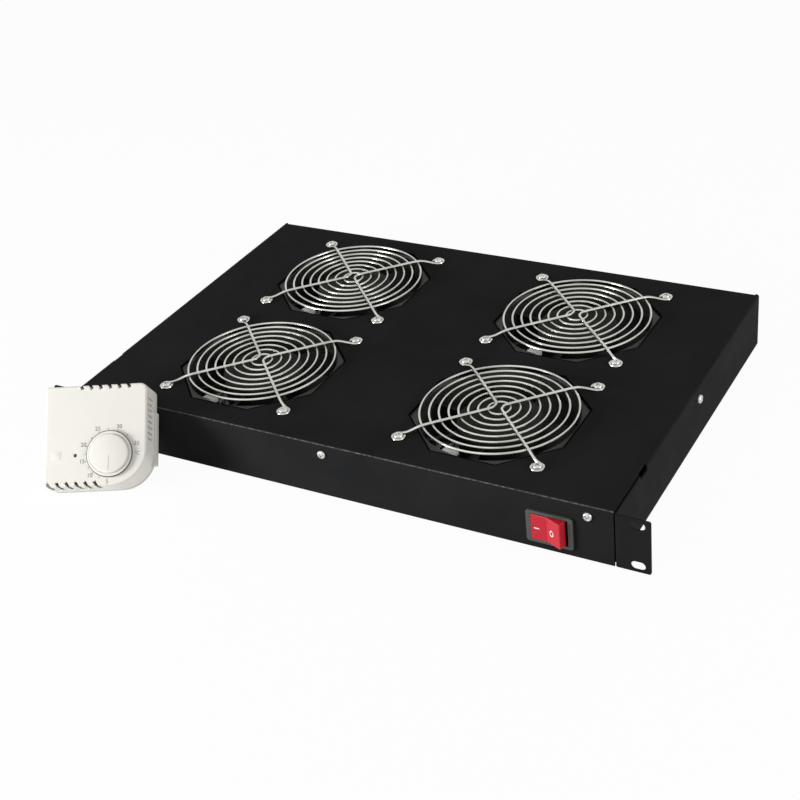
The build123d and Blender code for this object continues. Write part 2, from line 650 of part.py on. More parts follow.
def inlet_pins():
    """Three flat contact pins in the inlet."""
    bottom = TRAY_REAR + INLET_FLANGE_T - INLET_SOCKET_DEPTH
    ys = (bottom, bottom + INLET_PIN_L)
    pin = box(-INLET_PIN_W / 2, INLET_PIN_W / 2, *ys, -INLET_PIN_H / 2, INLET_PIN_H / 2)
    low = INLET_Z - INLET_EARTH_RISE / 2
    places = [(-INLET_PIN_PITCH, low), (0, low + INLET_EARTH_RISE), (INLET_PIN_PITCH, low)]
    return [Pos(INLET_X + x, 0, z) * pin for x, z in places]


def inlet_screws():
    """Two screws through the inlet's flange and the rear wall."""
    seat = TRAY_REAR + INLET_FLANGE_T
    length = INLET_FLANGE_T + SHEET + CASE_SCREW_L / 2
    size = (INLET_SCREW_HEAD_D, CASE_SCREW_HEAD_H, CASE_SCREW_D, length)
    xs = [INLET_X + side * INLET_HOLE_PITCH / 2 for side in (-1, 1)]
    return [pan_screw(*size, (x, seat, INLET_Z), (0, -1, 0)) for x in xs]


def inlet_nuts():
    """Nuts on the inlet's screws, inside the rear wall."""
    shape = RegularPolygon(CASE_NUT_AF / math.sqrt(3), 6) - Circle(CASE_TAP_D / 2)
    wall = TRAY_REAR - SHEET
    xs = [INLET_X + side * INLET_HOLE_PITCH / 2 for side in (-1, 1)]
    nut = extrude(Plane.XZ * shape, amount=CASE_NUT_T)
    return [Pos(x, wall, INLET_Z) * nut for x in xs]


def terminal_block():
    """Screw terminal block on the floor between the fans."""
    y = BODY_D / 2
    body = box(-BLOCK_W / 2, BLOCK_W / 2, y - BLOCK_L / 2, y + BLOCK_L / 2, SHEET, SHEET + BLOCK_H)
    pitch = BLOCK_L / BLOCK_WAYS
    for way in range(BLOCK_WAYS):
        place = y - BLOCK_L / 2 + pitch * (way + 0.5)
        levels = (SHEET + BLOCK_H / 2, SHEET + BLOCK_H + PAST)
        body -= rod(BLOCK_SCREW_D + 2 * THREAD_GAP, (0, place, levels[0]), (0, place, levels[1]))
    return body


def terminal_block_screws():
    """Clamp screws in the terminal block."""
    pitch = BLOCK_L / BLOCK_WAYS
    first = BODY_D / 2 - BLOCK_L / 2 + pitch / 2
    low = SHEET + BLOCK_H / 2
    top = SHEET + BLOCK_H - BLOCK_SCREW_SINK
    places = [first + pitch * way for way in range(BLOCK_WAYS)]
    return [rod(BLOCK_SCREW_D, (0, y, low), (0, y, top)) for y in places]


def tube(diameter, points):
    """Round lead: straight runs joined by arcs."""
    path = FilletPolyline(*points, radius=LOOM_BEND)
    start = Vector(*points[0])
    ahead = Vector(*points[1]) - start
    return sweep(Plane(origin=start, z_dir=ahead) * Circle(diameter / 2), path=path)


def supply_loom():
    """Lead from one of the inlet's tags along the right wall to the switch."""
    rear = TRAY_REAR - INLET_DEPTH - INLET_TAG_L
    front = SWITCH_DEPTH + SWITCH_TAB_L
    lane = INLET_X + INLET_PIN_PITCH
    end_x = SWITCH_X + SWITCH_TAB_PITCH / 2
    run = [(lane, rear, LOOM_Z), (lane, front + 3 * LOOM_BEND, LOOM_Z)]
    run += [(end_x, front + 1.5 * LOOM_BEND, LOOM_Z), (end_x, front, LOOM_Z)]
    return tube(LOOM_D, run)


def switch_loom():
    """Lead from the switch, between the fans, to the terminal block."""
    lane = SWITCH_X - SWITCH_TAB_PITCH / 2
    middle = BODY_D / 2
    run = [(lane, SWITCH_DEPTH + SWITCH_TAB_L, LOOM_Z), (lane, middle, LOOM_Z), (BLOCK_W / 2, middle, LOOM_Z)]
    return tube(LOOM_D, run)


def thermostat_lead():
    """Lead from the terminal block, between the fans, to the grommet in the rear wall."""
    middle = BODY_D / 2
    stop = TRAY_REAR - SHEET - GROMMET_LIP
    run = [(-BLOCK_W / 2, middle, LOOM_Z), (GROMMET_X, middle, LOOM_Z), (GROMMET_X, stop, LOOM_Z)]
    return tube(LOOM_D, run)


def fan_leads():
    """One thin lead from the terminal block to the connection box on each fan."""
    reach = (FAN_BORE_D / 2 + LEAD_BOX_OUT) / math.sqrt(2)
    leads = []
    for x, y in FAN_MIDDLES.values():
        side = math.copysign(1, x)
        end = math.copysign(1, y - BODY_D / 2)
        start = (x - side * reach, y - end * reach, LEAD_Z)
        turn = (start[0] - side * LEAD_STEP, start[1] - end * LEAD_STEP, LEAD_Z)
        leads.append(tube(LEAD_D, [start, turn, (side * BLOCK_W / 2, turn[1], LEAD_Z)]))
    return leads


def cable_grommet():
    """Closed rubber grommet in the rear wall, at the thermostat's lead."""
    wall = (TRAY_REAR - SHEET, TRAY_REAR)
    body = rod(GROMMET_HOLE_D - 2 * THREAD_GAP, (GROMMET_X, wall[0], LOOM_Z), (GROMMET_X, wall[1], LOOM_Z))
    body += rod(GROMMET_D, (GROMMET_X, wall[0] - GROMMET_LIP, LOOM_Z), (GROMMET_X, wall[0], LOOM_Z))
    return body + rod(GROMMET_D, (GROMMET_X, wall[1], LOOM_Z), (GROMMET_X, wall[1] + GROMMET_LIP, LOOM_Z))


def earth_stud():
    """Earth stud with its nut, standing on the floor."""
    stud = rod(EARTH_D, (EARTH_X, EARTH_Y, SHEET), (EARTH_X, EARTH_Y, SHEET + EARTH_H))
    nut = extrude(RegularPolygon(FAN_NUT_AF / math.sqrt(3), 6), amount=EARTH_NUT_T)
    foot = rod(2 * EARTH_D, (EARTH_X, EARTH_Y, SHEET), (EARTH_X, EARTH_Y, SHEET + EARTH_LIFT))
    return stud + foot + Pos(EARTH_X, EARTH_Y, SHEET + EARTH_LIFT) * nut


def thermostat_plane():
    """Where the thermostat stands: lower back edge on the ground, back on the tray's front bend."""
    yaw = math.radians(STAT_YAW)
    lean = math.radians(STAT_LEAN)
    up = (-math.sin(lean) * math.sin(yaw), math.sin(lean) * math.cos(yaw), math.cos(lean))
    slope = math.hypot(up[1], up[2])
    rise = BODY_H - BEND_R
    edge_y = BEND_R - ((BEND_R + LEAN_GAP) * slope + rise * up[1]) / up[2]
    foot = (STAT_X, edge_y - STAT_W / 2 * math.sin(yaw), 0)
    return Plane(origin=foot, x_dir=(math.cos(yaw), math.sin(yaw), 0), z_dir=up)


def thermostat_outline(inset):
    """Front outline of the thermostat: one big lower corner, the others small."""
    half = STAT_W / 2 - inset
    corners = [(-half, inset), (half, inset), (half, STAT_H - inset), (-half, STAT_H - inset)]
    radii = [STAT_CORNER_LEFT, STAT_CORNER_BIG, STAT_CORNER_TOP, STAT_CORNER_LEFT]
    radii = [max(r - inset, STAT_CORNER_LEAST) for r in radii]
    return make_face(FilletPolyline(*corners, radius=radii, close=True))


def thermostat_base():
    """Back plate of the thermostat with the ledge that shows at its right side."""
    plate = extrude(Plane.XZ * thermostat_outline(0), amount=STAT_BASE_T)
    near = STAT_W / 2 - STAT_WALL
    ys = (-STAT_WING_FRONT, -STAT_BASE_T / 2)
    wing = box(near, STAT_W / 2 + STAT_WING_OUT, *ys, STAT_WING_LOW, STAT_WING_HIGH)
    return plate + wing


def thermostat_cover():
    """Cover shell with slanted vents above and below, louvres at the right and the dial's hole."""
    depth = STAT_T - STAT_BASE_T
    shell = extrude(Plane.XZ.offset(STAT_BASE_T) * thermostat_outline(0), amount=depth)
    front = shell.faces().sort_by(Axis.Y)[0]
    shell = fillet(front.edges(), STAT_EDGE_R)
    shell -= extrude(Plane.XZ.offset(STAT_BASE_T) * thermostat_outline(STAT_WALL), amount=depth - STAT_WALL)
    slot_deep = (-STAT_T - PAST, -STAT_T / 2)
    for centre, level in ((TOP_VENT_X, STAT_H), (LOW_VENT_X, 0)):
        for step in range(VENTS):
            x = centre + (step - (VENTS - 1) / 2) * VENT_PITCH
            slot = box(-VENT_W / 2, VENT_W / 2, *slot_deep, -VENT_REACH, VENT_REACH)
            shell -= Pos(x, 0, level) * Rot(0, -VENT_SLANT, 0) * slot
    inner = STAT_W / 2 - STAT_WALL - PAST
    for step in range(LOUVRES):
        low = LOUVRE_LOW + step * LOUVRE_PITCH
        ys = (LOUVRE_NEAR - STAT_T, LOUVRE_NEAR + LOUVRE_LONG - STAT_T)
        shell -= box(inner, STAT_W / 2 + PAST, *ys, low, low + LOUVRE_W)
    zs = (STAT_WING_LOW - NEST_GAP, STAT_WING_HIGH + NEST_GAP)
    shell -= box(inner, STAT_W / 2 + PAST, -STAT_WING_FRONT - NEST_GAP, PAST - STAT_BASE_T, *zs)
    faces = (-STAT_T - PAST, STAT_WALL + PAST - STAT_T)
    shell -= rod(SPINDLE_D + 2 * RUN_GAP, (DIAL_X, faces[0], DIAL_Z), (DIAL_X, faces[1], DIAL_Z))
    return shell - rod(LENS_D + 2 * THREAD_GAP, (LENS_X, faces[0], DIAL_Z), (LENS_X, faces[1], DIAL_Z))


def thermostat_dial():
    """Dial with its raised face and the spindle that turns the switch."""
    back = -STAT_T - DIAL_GAP
    body = rod(DIAL_D, (DIAL_X, back, DIAL_Z), (DIAL_X, back - DIAL_RIM_T, DIAL_Z))
    body += rod(DIAL_FACE_D, (DIAL_X, back, DIAL_Z), (DIAL_X, back - DIAL_FACE_T, DIAL_Z))
    end = SPINDLE_SEAT - STAT_SWITCH_T - STAT_BASE_T
    return body + rod(SPINDLE_D, (DIAL_X, back, DIAL_Z), (DIAL_X, end, DIAL_Z))


def thermostat_switch():
    """Snap switch on the back plate with the bearing for the spindle."""
    xs = (DIAL_X - STAT_SWITCH_W / 2, DIAL_X + STAT_SWITCH_W / 2)
    zs = (DIAL_Z - STAT_SWITCH_H / 2, DIAL_Z + STAT_SWITCH_H / 2)
    front = -STAT_BASE_T - STAT_SWITCH_T
    body = box(*xs, front, -STAT_BASE_T, *zs)
    bottom = front + SPINDLE_SEAT + DIAL_GAP
    return body - rod(SPINDLE_D + 2 * RUN_GAP, (DIAL_X, front - PAST, DIAL_Z), (DIAL_X, bottom, DIAL_Z))


def thermostat_terminals():
    """Terminal strip on the back plate, above the switch."""
    xs = (LENS_X - STAT_SWITCH_W / 4, LENS_X + STAT_SWITCH_W)
    zs = (STAT_H - 2 * STAT_SWITCH_H, STAT_H - STAT_SWITCH_H)
    return box(*xs, -STAT_BASE_T - STAT_SWITCH_T, -STAT_BASE_T, *zs)


def thermostat_lens():
    """Indicator lens in the cover, held from behind by its collar."""
    inner = STAT_WALL - STAT_T
    body = rod(LENS_D, (LENS_X, -STAT_T - DIAL_GAP, DIAL_Z), (LENS_X, inner, DIAL_Z))
    return body + rod(2 * LENS_D, (LENS_X, inner, DIAL_Z), (LENS_X, inner + LENS_COLLAR_T, DIAL_Z))


def build():
    """All nodes by name: a solid, or a list of separate solids."""
    nodes = {"housing": housing(), "bottom_tray": bottom_tray()}
    front = [case_screw((x, 0, FRONT_SCREW_Z), (0, 1, 0)) for x in CASE_SCREW_XS]
    sides = [case_screw((s * HALF_W, SIDE_SCREW_Y, SIDE_SCREW_Z), (-s, 0, 0)) for s in (-1, 1)]
    rear = [case_screw((x, BODY_D, REAR_SCREW_Z), (0, -1, 0)) for x in CASE_SCREW_XS]
    nodes.update({"front_screws": front, "side_screws": sides, "rear_screws": rear})
    for name, middle in FAN_MIDDLES.items():
        nodes["fan_frame_" + name] = fan_frame(middle)
        nodes["fan_motor_" + name] = fan_motor(middle)
        nodes["fan_impeller_" + name] = fan_impeller(middle)
        nodes["top_guard_" + name] = top_guard(middle)
        nodes["bottom_guard_" + name] = bottom_guard(middle)
    nodes["fan_plugs"] = [fan_plug(middle) for middle in FAN_MIDDLES.values()]
    nodes["top_guard_screws"] = top_guard_screws()
    nodes["top_guard_nuts"] = top_guard_nuts()
    nodes["bottom_guard_screws"] = bottom_guard_screws()
    nodes["switch_body"] = switch_body()
    nodes["switch_rocker"] = switch_rocker()
    nodes["switch_terminals"] = switch_terminals()
    nodes["power_inlet"] = power_inlet()
    nodes["inlet_pins"] = inlet_pins()
    nodes["inlet_screws"] = inlet_screws()
    nodes["inlet_nuts"] = inlet_nuts()
    nodes["terminal_block"] = terminal_block()
    nodes["terminal_block_screws"] = terminal_block_screws()
    nodes["supply_loom"] = supply_loom()
    nodes["switch_loom"] = switch_loom()
    nodes["thermostat_lead"] = thermostat_lead()
    nodes["fan_leads"] = fan_leads()
    nodes["cable_grommet"] = cable_grommet()
    nodes["earth_stud"] = earth_stud()
    stand = thermostat_plane().location
    nodes["thermostat_base"] = stand * thermostat_base()
    nodes["thermostat_cover"] = stand * thermostat_cover()
    nodes["thermostat_dial"] = stand * thermostat_dial()
    nodes["thermostat_switch"] = stand * thermostat_switch()
    nodes["thermostat_terminals"] = stand * thermostat_terminals()
    nodes["thermostat_lens"] = stand * thermostat_lens()
    return nodes


os.makedirs("parts", exist_ok=True)
shift = Pos(0, -SHEET, -EAR_MID)
for node, shape in build().items():
    if isinstance(shape, list):
        placed = Compound(children=[shift * piece for piece in shape])
    else:
        placed = shift * shape
    placed.label = node
    export_step(placed, "parts/" + node + ".step")
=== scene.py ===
import math

import bmesh
import bpy
import numpy as np
from mathutils import Matrix


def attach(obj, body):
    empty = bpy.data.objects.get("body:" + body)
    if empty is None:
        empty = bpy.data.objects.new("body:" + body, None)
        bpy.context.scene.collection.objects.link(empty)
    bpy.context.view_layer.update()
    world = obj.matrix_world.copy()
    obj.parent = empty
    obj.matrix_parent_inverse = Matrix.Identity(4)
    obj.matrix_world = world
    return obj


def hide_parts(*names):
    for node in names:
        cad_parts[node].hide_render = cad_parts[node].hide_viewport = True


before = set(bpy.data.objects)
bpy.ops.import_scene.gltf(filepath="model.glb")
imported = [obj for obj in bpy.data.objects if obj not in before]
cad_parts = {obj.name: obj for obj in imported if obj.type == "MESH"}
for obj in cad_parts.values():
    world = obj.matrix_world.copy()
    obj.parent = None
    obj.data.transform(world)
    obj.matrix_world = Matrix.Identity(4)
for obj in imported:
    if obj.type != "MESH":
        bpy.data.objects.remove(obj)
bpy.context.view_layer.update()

# Places are written in millimetres from the front face and the underside of the tray, and
# moved by this step into the rack frame, whose origin is the middle of the four ear slots.
STEP = np.array([0.0, -1.2, -20.85])
# Levels of the tray's top face and of the fans' underside, and the middle of each fan
TOP = 43.6
FAN_LOW = 4.4
FANS = {
    "front_left": (-100.0, 79.5),
    "front_right": (100.0, 79.5),
    "rear_left": (-100.0, 218.5),
    "rear_right": (100.0, 218.5),
}
# The guard screws stand this far from the fan's middle each way, and in a straight line
HOLE_OFF = 52.5
EYELET_R = HOLE_OFF * math.sqrt(2)

# The thermostat stands turned and tipped: its foot, its own width, height and depth directions,
# the depth of its front face, and the places of its dial and lens on that face
TURN, TIP_BACK = math.radians(25.0), math.radians(45.0)
STAT_FOOT = np.array([-158.0, -54.317, 0.0])
STAT_WIDE = np.array([math.cos(TURN), math.sin(TURN), 0.0])
STAT_HIGH = np.array([
    -math.sin(TIP_BACK) * math.sin(TURN),
    math.sin(TIP_BACK) * math.cos(TURN),
    math.cos(TIP_BACK),
])
STAT_DEEP = np.cross(STAT_HIGH, STAT_WIDE)
STAT_FACE = -27.0
DIAL = (10.8, 22.2)
LENS_X = -14.8


# Shaders

# Places of the two colours and of the result on a colour mix
MIX_A, MIX_B, MIX_RESULT = 6, 7, 2
DUST_TINT = (0.32, 0.31, 0.29, 1.0)
# Colour of the painted highlight along the front bend
HIGHLIGHT_TINT = (0.34, 0.32, 0.30, 1.0)
# Thin print and the finest plastics have hardly any relief, in metres
FLAT = 0.000001


def named(tree, name, kind="NodeSocketFloat", way="INPUT", value=None):
    """Adds one socket to a group's outside."""
    socket = tree.interface.new_socket(name=name, in_out=way, socket_type=kind)
    if value is not None:
        socket.default_value = value


def node(tree, kind, **settings):
    """One shader node; settings named after an input go on that input, the rest on the node."""
    made = tree.nodes.new(kind)
    for key, value in settings.items():
        label = key.replace("_", " ")
        if label in made.inputs:
            made.inputs[label].default_value = value
        else:
            setattr(made, key, value)
    return made


def powder_group():
    """Height of a powder coat: fine orange peel with a few coarser grains."""
    tree = bpy.data.node_groups.new("coat_texture", "ShaderNodeTree")
    named(tree, "Grain", value=2500.0)
    named(tree, "Height", way="OUTPUT")
    outer = node(tree, "NodeGroupInput")
    out = node(tree, "NodeGroupOutput")
    place = node(tree, "ShaderNodeTexCoord")
    fine = node(tree, "ShaderNodeTexNoise", Detail=3.0, Roughness=0.6)
    cells = node(tree, "ShaderNodeTexVoronoi", feature="SMOOTH_F1")
    half = node(tree, "ShaderNodeMath", operation="MULTIPLY")
    half.inputs[1].default_value = 0.45
    both = node(tree, "ShaderNodeMath", operation="MULTIPLY_ADD")
    both.inputs[1].default_value = 0.4
    tree.links.new(place.outputs["Object"], fine.inputs["Vector"])
    tree.links.new(place.outputs["Object"], cells.inputs["Vector"])
    tree.links.new(outer.outputs["Grain"], fine.inputs["Scale"])
    tree.links.new(outer.outputs["Grain"], half.inputs[0])
    tree.links.new(half.outputs[0], cells.inputs["Scale"])
    tree.links.new(cells.outputs["Distance"], both.inputs[0])
    tree.links.new(fine.outputs["Fac"], both.inputs[2])
    tree.links.new(both.outputs[0], out.inputs["Height"])
    return tree


def patches_group():
    """Slow change over a surface, from 0 to 1: handling marks and uneven batches of colour."""
    tree = bpy.data.node_groups.new("slow_patches", "ShaderNodeTree")
    named(tree, "Size", value=18.0)
    named(tree, "Low", value=0.0)
    named(tree, "High", value=1.0)
    named(tree, "Mask", way="OUTPUT")
    outer = node(tree, "NodeGroupInput")
    out = node(tree, "NodeGroupOutput")
    place = node(tree, "ShaderNodeTexCoord")
    cloud = node(tree, "ShaderNodeTexNoise", Detail=4.0, Roughness=0.55, Distortion=0.4)
    spread = node(tree, "ShaderNodeMapRange", interpolation_type="SMOOTHSTEP")
    spread.inputs["From Min"].default_value = 0.3
    spread.inputs["From Max"].default_value = 0.7
    tree.links.new(place.outputs["Object"], cloud.inputs["Vector"])
    tree.links.new(outer.outputs["Size"], cloud.inputs["Scale"])
    tree.links.new(cloud.outputs["Fac"], spread.inputs["Value"])
    tree.links.new(outer.outputs["Low"], spread.inputs["To Min"])
    tree.links.new(outer.outputs["High"], spread.inputs["To Max"])
    tree.links.new(spread.outputs["Result"], out.inputs["Mask"])
    return tree


def dust_group():
    """Dust that settles: small specks and a thin film, only where the surface looks up."""
    tree = bpy.data.node_groups.new("settled_dust", "ShaderNodeTree")
    named(tree, "Amount", value=0.1)
    named(tree, "Mask", way="OUTPUT")
    outer = node(tree, "NodeGroupInput")
    out = node(tree, "NodeGroupOutput")
    place = node(tree, "ShaderNodeTexCoord")
    specks = node(tree, "ShaderNodeTexNoise", Scale=900.0, Detail=2.0)
    film = node(tree, "ShaderNodeTexNoise", Scale=14.0, Detail=3.0)
    gate = node(tree, "ShaderNodeMapRange")
    gate.inputs["From Min"].default_value = 0.62
    gate.inputs["From Max"].default_value = 0.75
    facing = node(tree, "ShaderNodeNewGeometry")
    split = node(tree, "ShaderNodeSeparateXYZ")
    upward = node(tree, "ShaderNodeMath", operation="MAXIMUM")
    upward.inputs[1].default_value = 0.0
    mixed = node(tree, "ShaderNodeMath", operation="MULTIPLY_ADD")
    mixed.inputs[1].default_value = 0.5
    lain = node(tree, "ShaderNodeMath", operation="MULTIPLY")
    amount = node(tree, "ShaderNodeMath", operation="MULTIPLY")
    tree.links.new(place.outputs["Object"], specks.inputs["Vector"])
    tree.links.new(place.outputs["Object"], film.inputs["Vector"])
    tree.links.new(specks.outputs["Fac"], gate.inputs["Value"])
    tree.links.new(gate.outputs["Result"], mixed.inputs[0])
    tree.links.new(film.outputs["Fac"], mixed.inputs[2])
    tree.links.new(facing.outputs["Normal"], split.inputs[0])
    tree.links.new(split.outputs["Z"], upward.inputs[0])
    tree.links.new(upward.outputs[0], lain.inputs[0])
    tree.links.new(mixed.outputs[0], lain.inputs[1])
    tree.links.new(lain.outputs[0], amount.inputs[0])
    tree.links.new(outer.outputs["Amount"], amount.inputs[1])
    tree.links.new(amount.outputs[0], out.inputs["Mask"])
    return tree


def drawn_group():
    """Height of drawn wire and turned metal: fine scratches of mixed length."""
    tree = bpy.data.node_groups.new("drawing_marks", "ShaderNodeTree")
    named(tree, "Stretch", "NodeSocketVector", value=(900.0, 900.0, 9000.0))
    named(tree, "Height", way="OUTPUT")
    outer = node(tree, "NodeGroupInput")
    out = node(tree, "NodeGroupOutput")
    place = node(tree, "ShaderNodeTexCoord")
    scaled = node(tree, "ShaderNodeVectorMath", operation="MULTIPLY")
    marks = node(tree, "ShaderNodeTexNoise", Scale=1.0, Detail=4.0, Roughness=0.65)
    tree.links.new(place.outputs["Object"], scaled.inputs[0])
    tree.links.new(outer.outputs["Stretch"], scaled.inputs[1])
    tree.links.new(scaled.outputs[0], marks.inputs["Vector"])
    tree.links.new(marks.outputs["Fac"], out.inputs["Height"])
    return tree


def wear_group():
    """Painted highlight along the top of a front bend, in specks, where a lamp's light would catch
    the bend: 1 where the surface looks half forwards and half up."""
    tree = bpy.data.node_groups.new("painted_bend_highlight", "ShaderNodeTree")
    named(tree, "Amount", value=0.0)
    named(tree, "Mask", way="OUTPUT")
    outer = node(tree, "NodeGroupInput")
    out = node(tree, "NodeGroupOutput")
    facing = node(tree, "ShaderNodeNewGeometry")
    towards = node(tree, "ShaderNodeVectorMath", operation="DOT_PRODUCT")
    towards.inputs[1].default_value = (0.0, -0.7071, 0.7071)
    line = node(tree, "ShaderNodeMapRange", interpolation_type="SMOOTHSTEP")
    line.inputs["From Min"].default_value = 0.968
    line.inputs["From Max"].default_value = 0.995
    place = node(tree, "ShaderNodeTexCoord")
    specks = node(tree, "ShaderNodeTexNoise", Scale=420.0, Detail=3.0, Roughness=0.6)
    gate = node(tree, "ShaderNodeMapRange")
    gate.inputs["From Min"].default_value = 0.4
    gate.inputs["From Max"].default_value = 0.62
    gate.inputs["To Min"].default_value = 0.25
    # The bend line times the specks: where the painted highlight lies
    painted_highlight = node(tree, "ShaderNodeMath", operation="MULTIPLY")
    amount = node(tree, "ShaderNodeMath", operation="MULTIPLY")
    tree.links.new(facing.outputs["Normal"], towards.inputs[0])
    tree.links.new(towards.outputs["Value"], line.inputs["Value"])
    tree.links.new(place.outputs["Object"], specks.inputs["Vector"])
    tree.links.new(specks.outputs["Fac"], gate.inputs["Value"])
    tree.links.new(line.outputs["Result"], painted_highlight.inputs[0])
    tree.links.new(gate.outputs["Result"], painted_highlight.inputs[1])
    tree.links.new(painted_highlight.outputs[0], amount.inputs[0])
    tree.links.new(outer.outputs["Amount"], amount.inputs[1])
    tree.links.new(amount.outputs[0], out.inputs["Mask"])
    return tree


COAT = powder_group()
PATCHES = patches_group()
DUST = dust_group()
DRAWN = drawn_group()
HIGHLIGHT_MASK = wear_group()


def finish_of(name, dark, light, rough, bump, grain, shine=0.5, metal=0.0, dust=0.0,
              patch=18.0, stretch=None, coat=0.0, coat_rough=0.1, painted_highlight=0.0):
    """Material of one finish: two close colours in slow patches, dust that lies on top and a
    painted highlight along a bend where asked for, a roughness between two values, and a fine
    relief of the given depth, either grained or drawn out by stretch."""
    made = bpy.data.materials.new(name)
    made.use_nodes = True
    tree = made.node_tree
    tree.nodes.clear()
    out = node(tree, "ShaderNodeOutputMaterial")
    body = node(tree, "ShaderNodeBsdfPrincipled")
    body.inputs["Metallic"].default_value = metal
    body.inputs["Specular IOR Level"].default_value = shine
    body.inputs["Coat Weight"].default_value = coat
    body.inputs["Coat Roughness"].default_value = coat_rough
    tree.links.new(body.outputs[0], out.inputs[0])
    tint = node(tree, "ShaderNodeGroup", node_tree=PATCHES)
    tint.inputs["Size"].default_value = patch
    shades = node(tree, "ShaderNodeMix", data_type="RGBA")
    shades.inputs[MIX_A].default_value = (*dark, 1.0)
    shades.inputs[MIX_B].default_value = (*light, 1.0)
    tree.links.new(tint.outputs["Mask"], shades.inputs[0])
    colour = shades.outputs[MIX_RESULT]
    # Dust is a real film on up-facing faces; the second mask is a painted highlight along the bend
    for group, amount, over in ((DUST, dust, DUST_TINT), (HIGHLIGHT_MASK, painted_highlight, HIGHLIGHT_TINT)):
        if amount > 0.0:
            mask = node(tree, "ShaderNodeGroup", node_tree=group)
            mask.inputs["Amount"].default_value = amount
            covered = node(tree, "ShaderNodeMix", data_type="RGBA")
            covered.inputs[MIX_B].default_value = over
            tree.links.new(colour, covered.inputs[MIX_A])
            tree.links.new(mask.outputs["Mask"], covered.inputs[0])
            colour = covered.outputs[MIX_RESULT]
    tree.links.new(colour, body.inputs["Base Color"])
    gloss = node(tree, "ShaderNodeGroup", node_tree=PATCHES)
    gloss.inputs["Size"].default_value = patch * 3.1
    gloss.inputs["Low"].default_value = rough[0]
    gloss.inputs["High"].default_value = rough[1]
    tree.links.new(gloss.outputs["Mask"], body.inputs["Roughness"])
    relief = node(tree, "ShaderNodeBump")
    relief.inputs["Strength"].default_value = 1.0
    relief.inputs["Distance"].default_value = bump
    if stretch is None:
        texture = node(tree, "ShaderNodeGroup", node_tree=COAT)
        texture.inputs["Grain"].default_value = grain
    else:
        texture = node(tree, "ShaderNodeGroup", node_tree=DRAWN)
        texture.inputs["Stretch"].default_value = stretch
    tree.links.new(texture.outputs["Height"], relief.inputs["Height"])
    tree.links.new(relief.outputs["Normal"], body.inputs["Normal"])
    return made


# The black coat carries a painted highlight, in specks, along its front bend
BLACK_COAT = finish_of("black_powder_coat", (0.0165, 0.0167, 0.0175), (0.0205, 0.0207, 0.0215),
                       (0.42, 0.5), 0.000012, 2300.0, shine=0.003, dust=0.004, painted_highlight=0.42)
BRIGHT_WIRE = finish_of("bright_wire", (0.48, 0.48, 0.44), (0.62, 0.62, 0.58), (0.15, 0.25),
                        0.000004, 0, metal=1.0, patch=60.0, stretch=(1500.0, 1500.0, 700.0))
ZINC = finish_of("zinc_plate", (0.50, 0.50, 0.47), (0.66, 0.66, 0.63), (0.26, 0.38),
                 0.000005, 0, metal=1.0, patch=140.0, stretch=(1200.0, 1200.0, 5000.0))
ALLOY = finish_of("cast_alloy", (0.034, 0.037, 0.033), (0.050, 0.054, 0.048), (0.45, 0.58),
                  0.00003, 1400.0, shine=0.16, dust=0.03)
MOTOR = finish_of("motor_steel", (0.16, 0.16, 0.155), (0.24, 0.24, 0.235), (0.3, 0.42),
                  0.000008, 0, metal=1.0, stretch=(900.0, 900.0, 9000.0))
IMPELLER = finish_of("impeller_plastic", (0.016, 0.018, 0.015), (0.024, 0.027, 0.022),
                     (0.38, 0.5), 0.00001, 1500.0, shine=0.05, dust=0.015)
NYLON = finish_of("white_nylon", (0.48, 0.48, 0.45), (0.58, 0.58, 0.54), (0.4, 0.5),
                  0.000008, 1800.0, shine=0.2)
BEZEL = finish_of("bezel_plastic", (0.048, 0.052, 0.046), (0.060, 0.064, 0.057), (0.42, 0.52),
                  0.00002, 1900.0, shine=0.45)
RED = finish_of("rocker_red", (0.50, 0.010, 0.026), (0.56, 0.014, 0.032), (0.26, 0.34),
                2 * FLAT, 900.0, shine=0.25)
BRASS = finish_of("contact_brass", (0.66, 0.48, 0.22), (0.76, 0.57, 0.29), (0.24, 0.36),
                  0.000004, 0, metal=1.0, stretch=(2500.0, 2500.0, 1200.0))
INLET = finish_of("inlet_plastic", (0.012, 0.012, 0.0125), (0.017, 0.017, 0.0175), (0.34, 0.46),
                  0.000012, 1600.0, shine=0.45)
BLOCK = finish_of("block_plastic", (0.66, 0.66, 0.62), (0.74, 0.74, 0.70), (0.42, 0.52),
                  0.000012, 1500.0)
# Near-black for the painted shade rings inside the octagons
SHADE = finish_of("edge_shade", (0.003, 0.003, 0.003), (0.005, 0.005, 0.005), (0.8, 0.9),
                  0.000004, 2300.0, shine=0.0)
LEAD = finish_of("lead_jacket", (0.010, 0.010, 0.0105), (0.016, 0.016, 0.0165), (0.4, 0.5),
                 0.00001, 2600.0, shine=0.45)
RUBBER = finish_of("grommet_rubber", (0.010, 0.010, 0.010), (0.015, 0.015, 0.015), (0.6, 0.72),
                   0.00001, 2200.0, shine=0.35)
CREAM = finish_of("cream_plastic", (0.80, 0.775, 0.715), (0.83, 0.805, 0.745), (0.38, 0.47),
                  0.000006, 1500.0, shine=0.25, patch=9.0)
STAT_GREY = finish_of("thermostat_back", (0.60, 0.60, 0.55), (0.66, 0.66, 0.61), (0.42, 0.52),
                      0.00001, 1500.0, shine=0.4)
PRINT = finish_of("dial_print", (0.085, 0.085, 0.08), (0.12, 0.12, 0.11), (0.45, 0.55),
                  FLAT, 2000.0)
PRINT_RED = finish_of("dial_print_red", (0.50, 0.09, 0.07), (0.56, 0.11, 0.09), (0.45, 0.55),
                      FLAT, 2000.0)
PRINT_WHITE = finish_of("rocker_print", (0.82, 0.80, 0.78), (0.88, 0.86, 0.84), (0.4, 0.5),
                        FLAT, 2000.0)
LENS = finish_of("indicator_lens", (0.018, 0.018, 0.018), (0.028, 0.026, 0.026), (0.08, 0.14),
                 FLAT, 900.0, coat=0.5, coat_rough=0.05)


# Surfaces

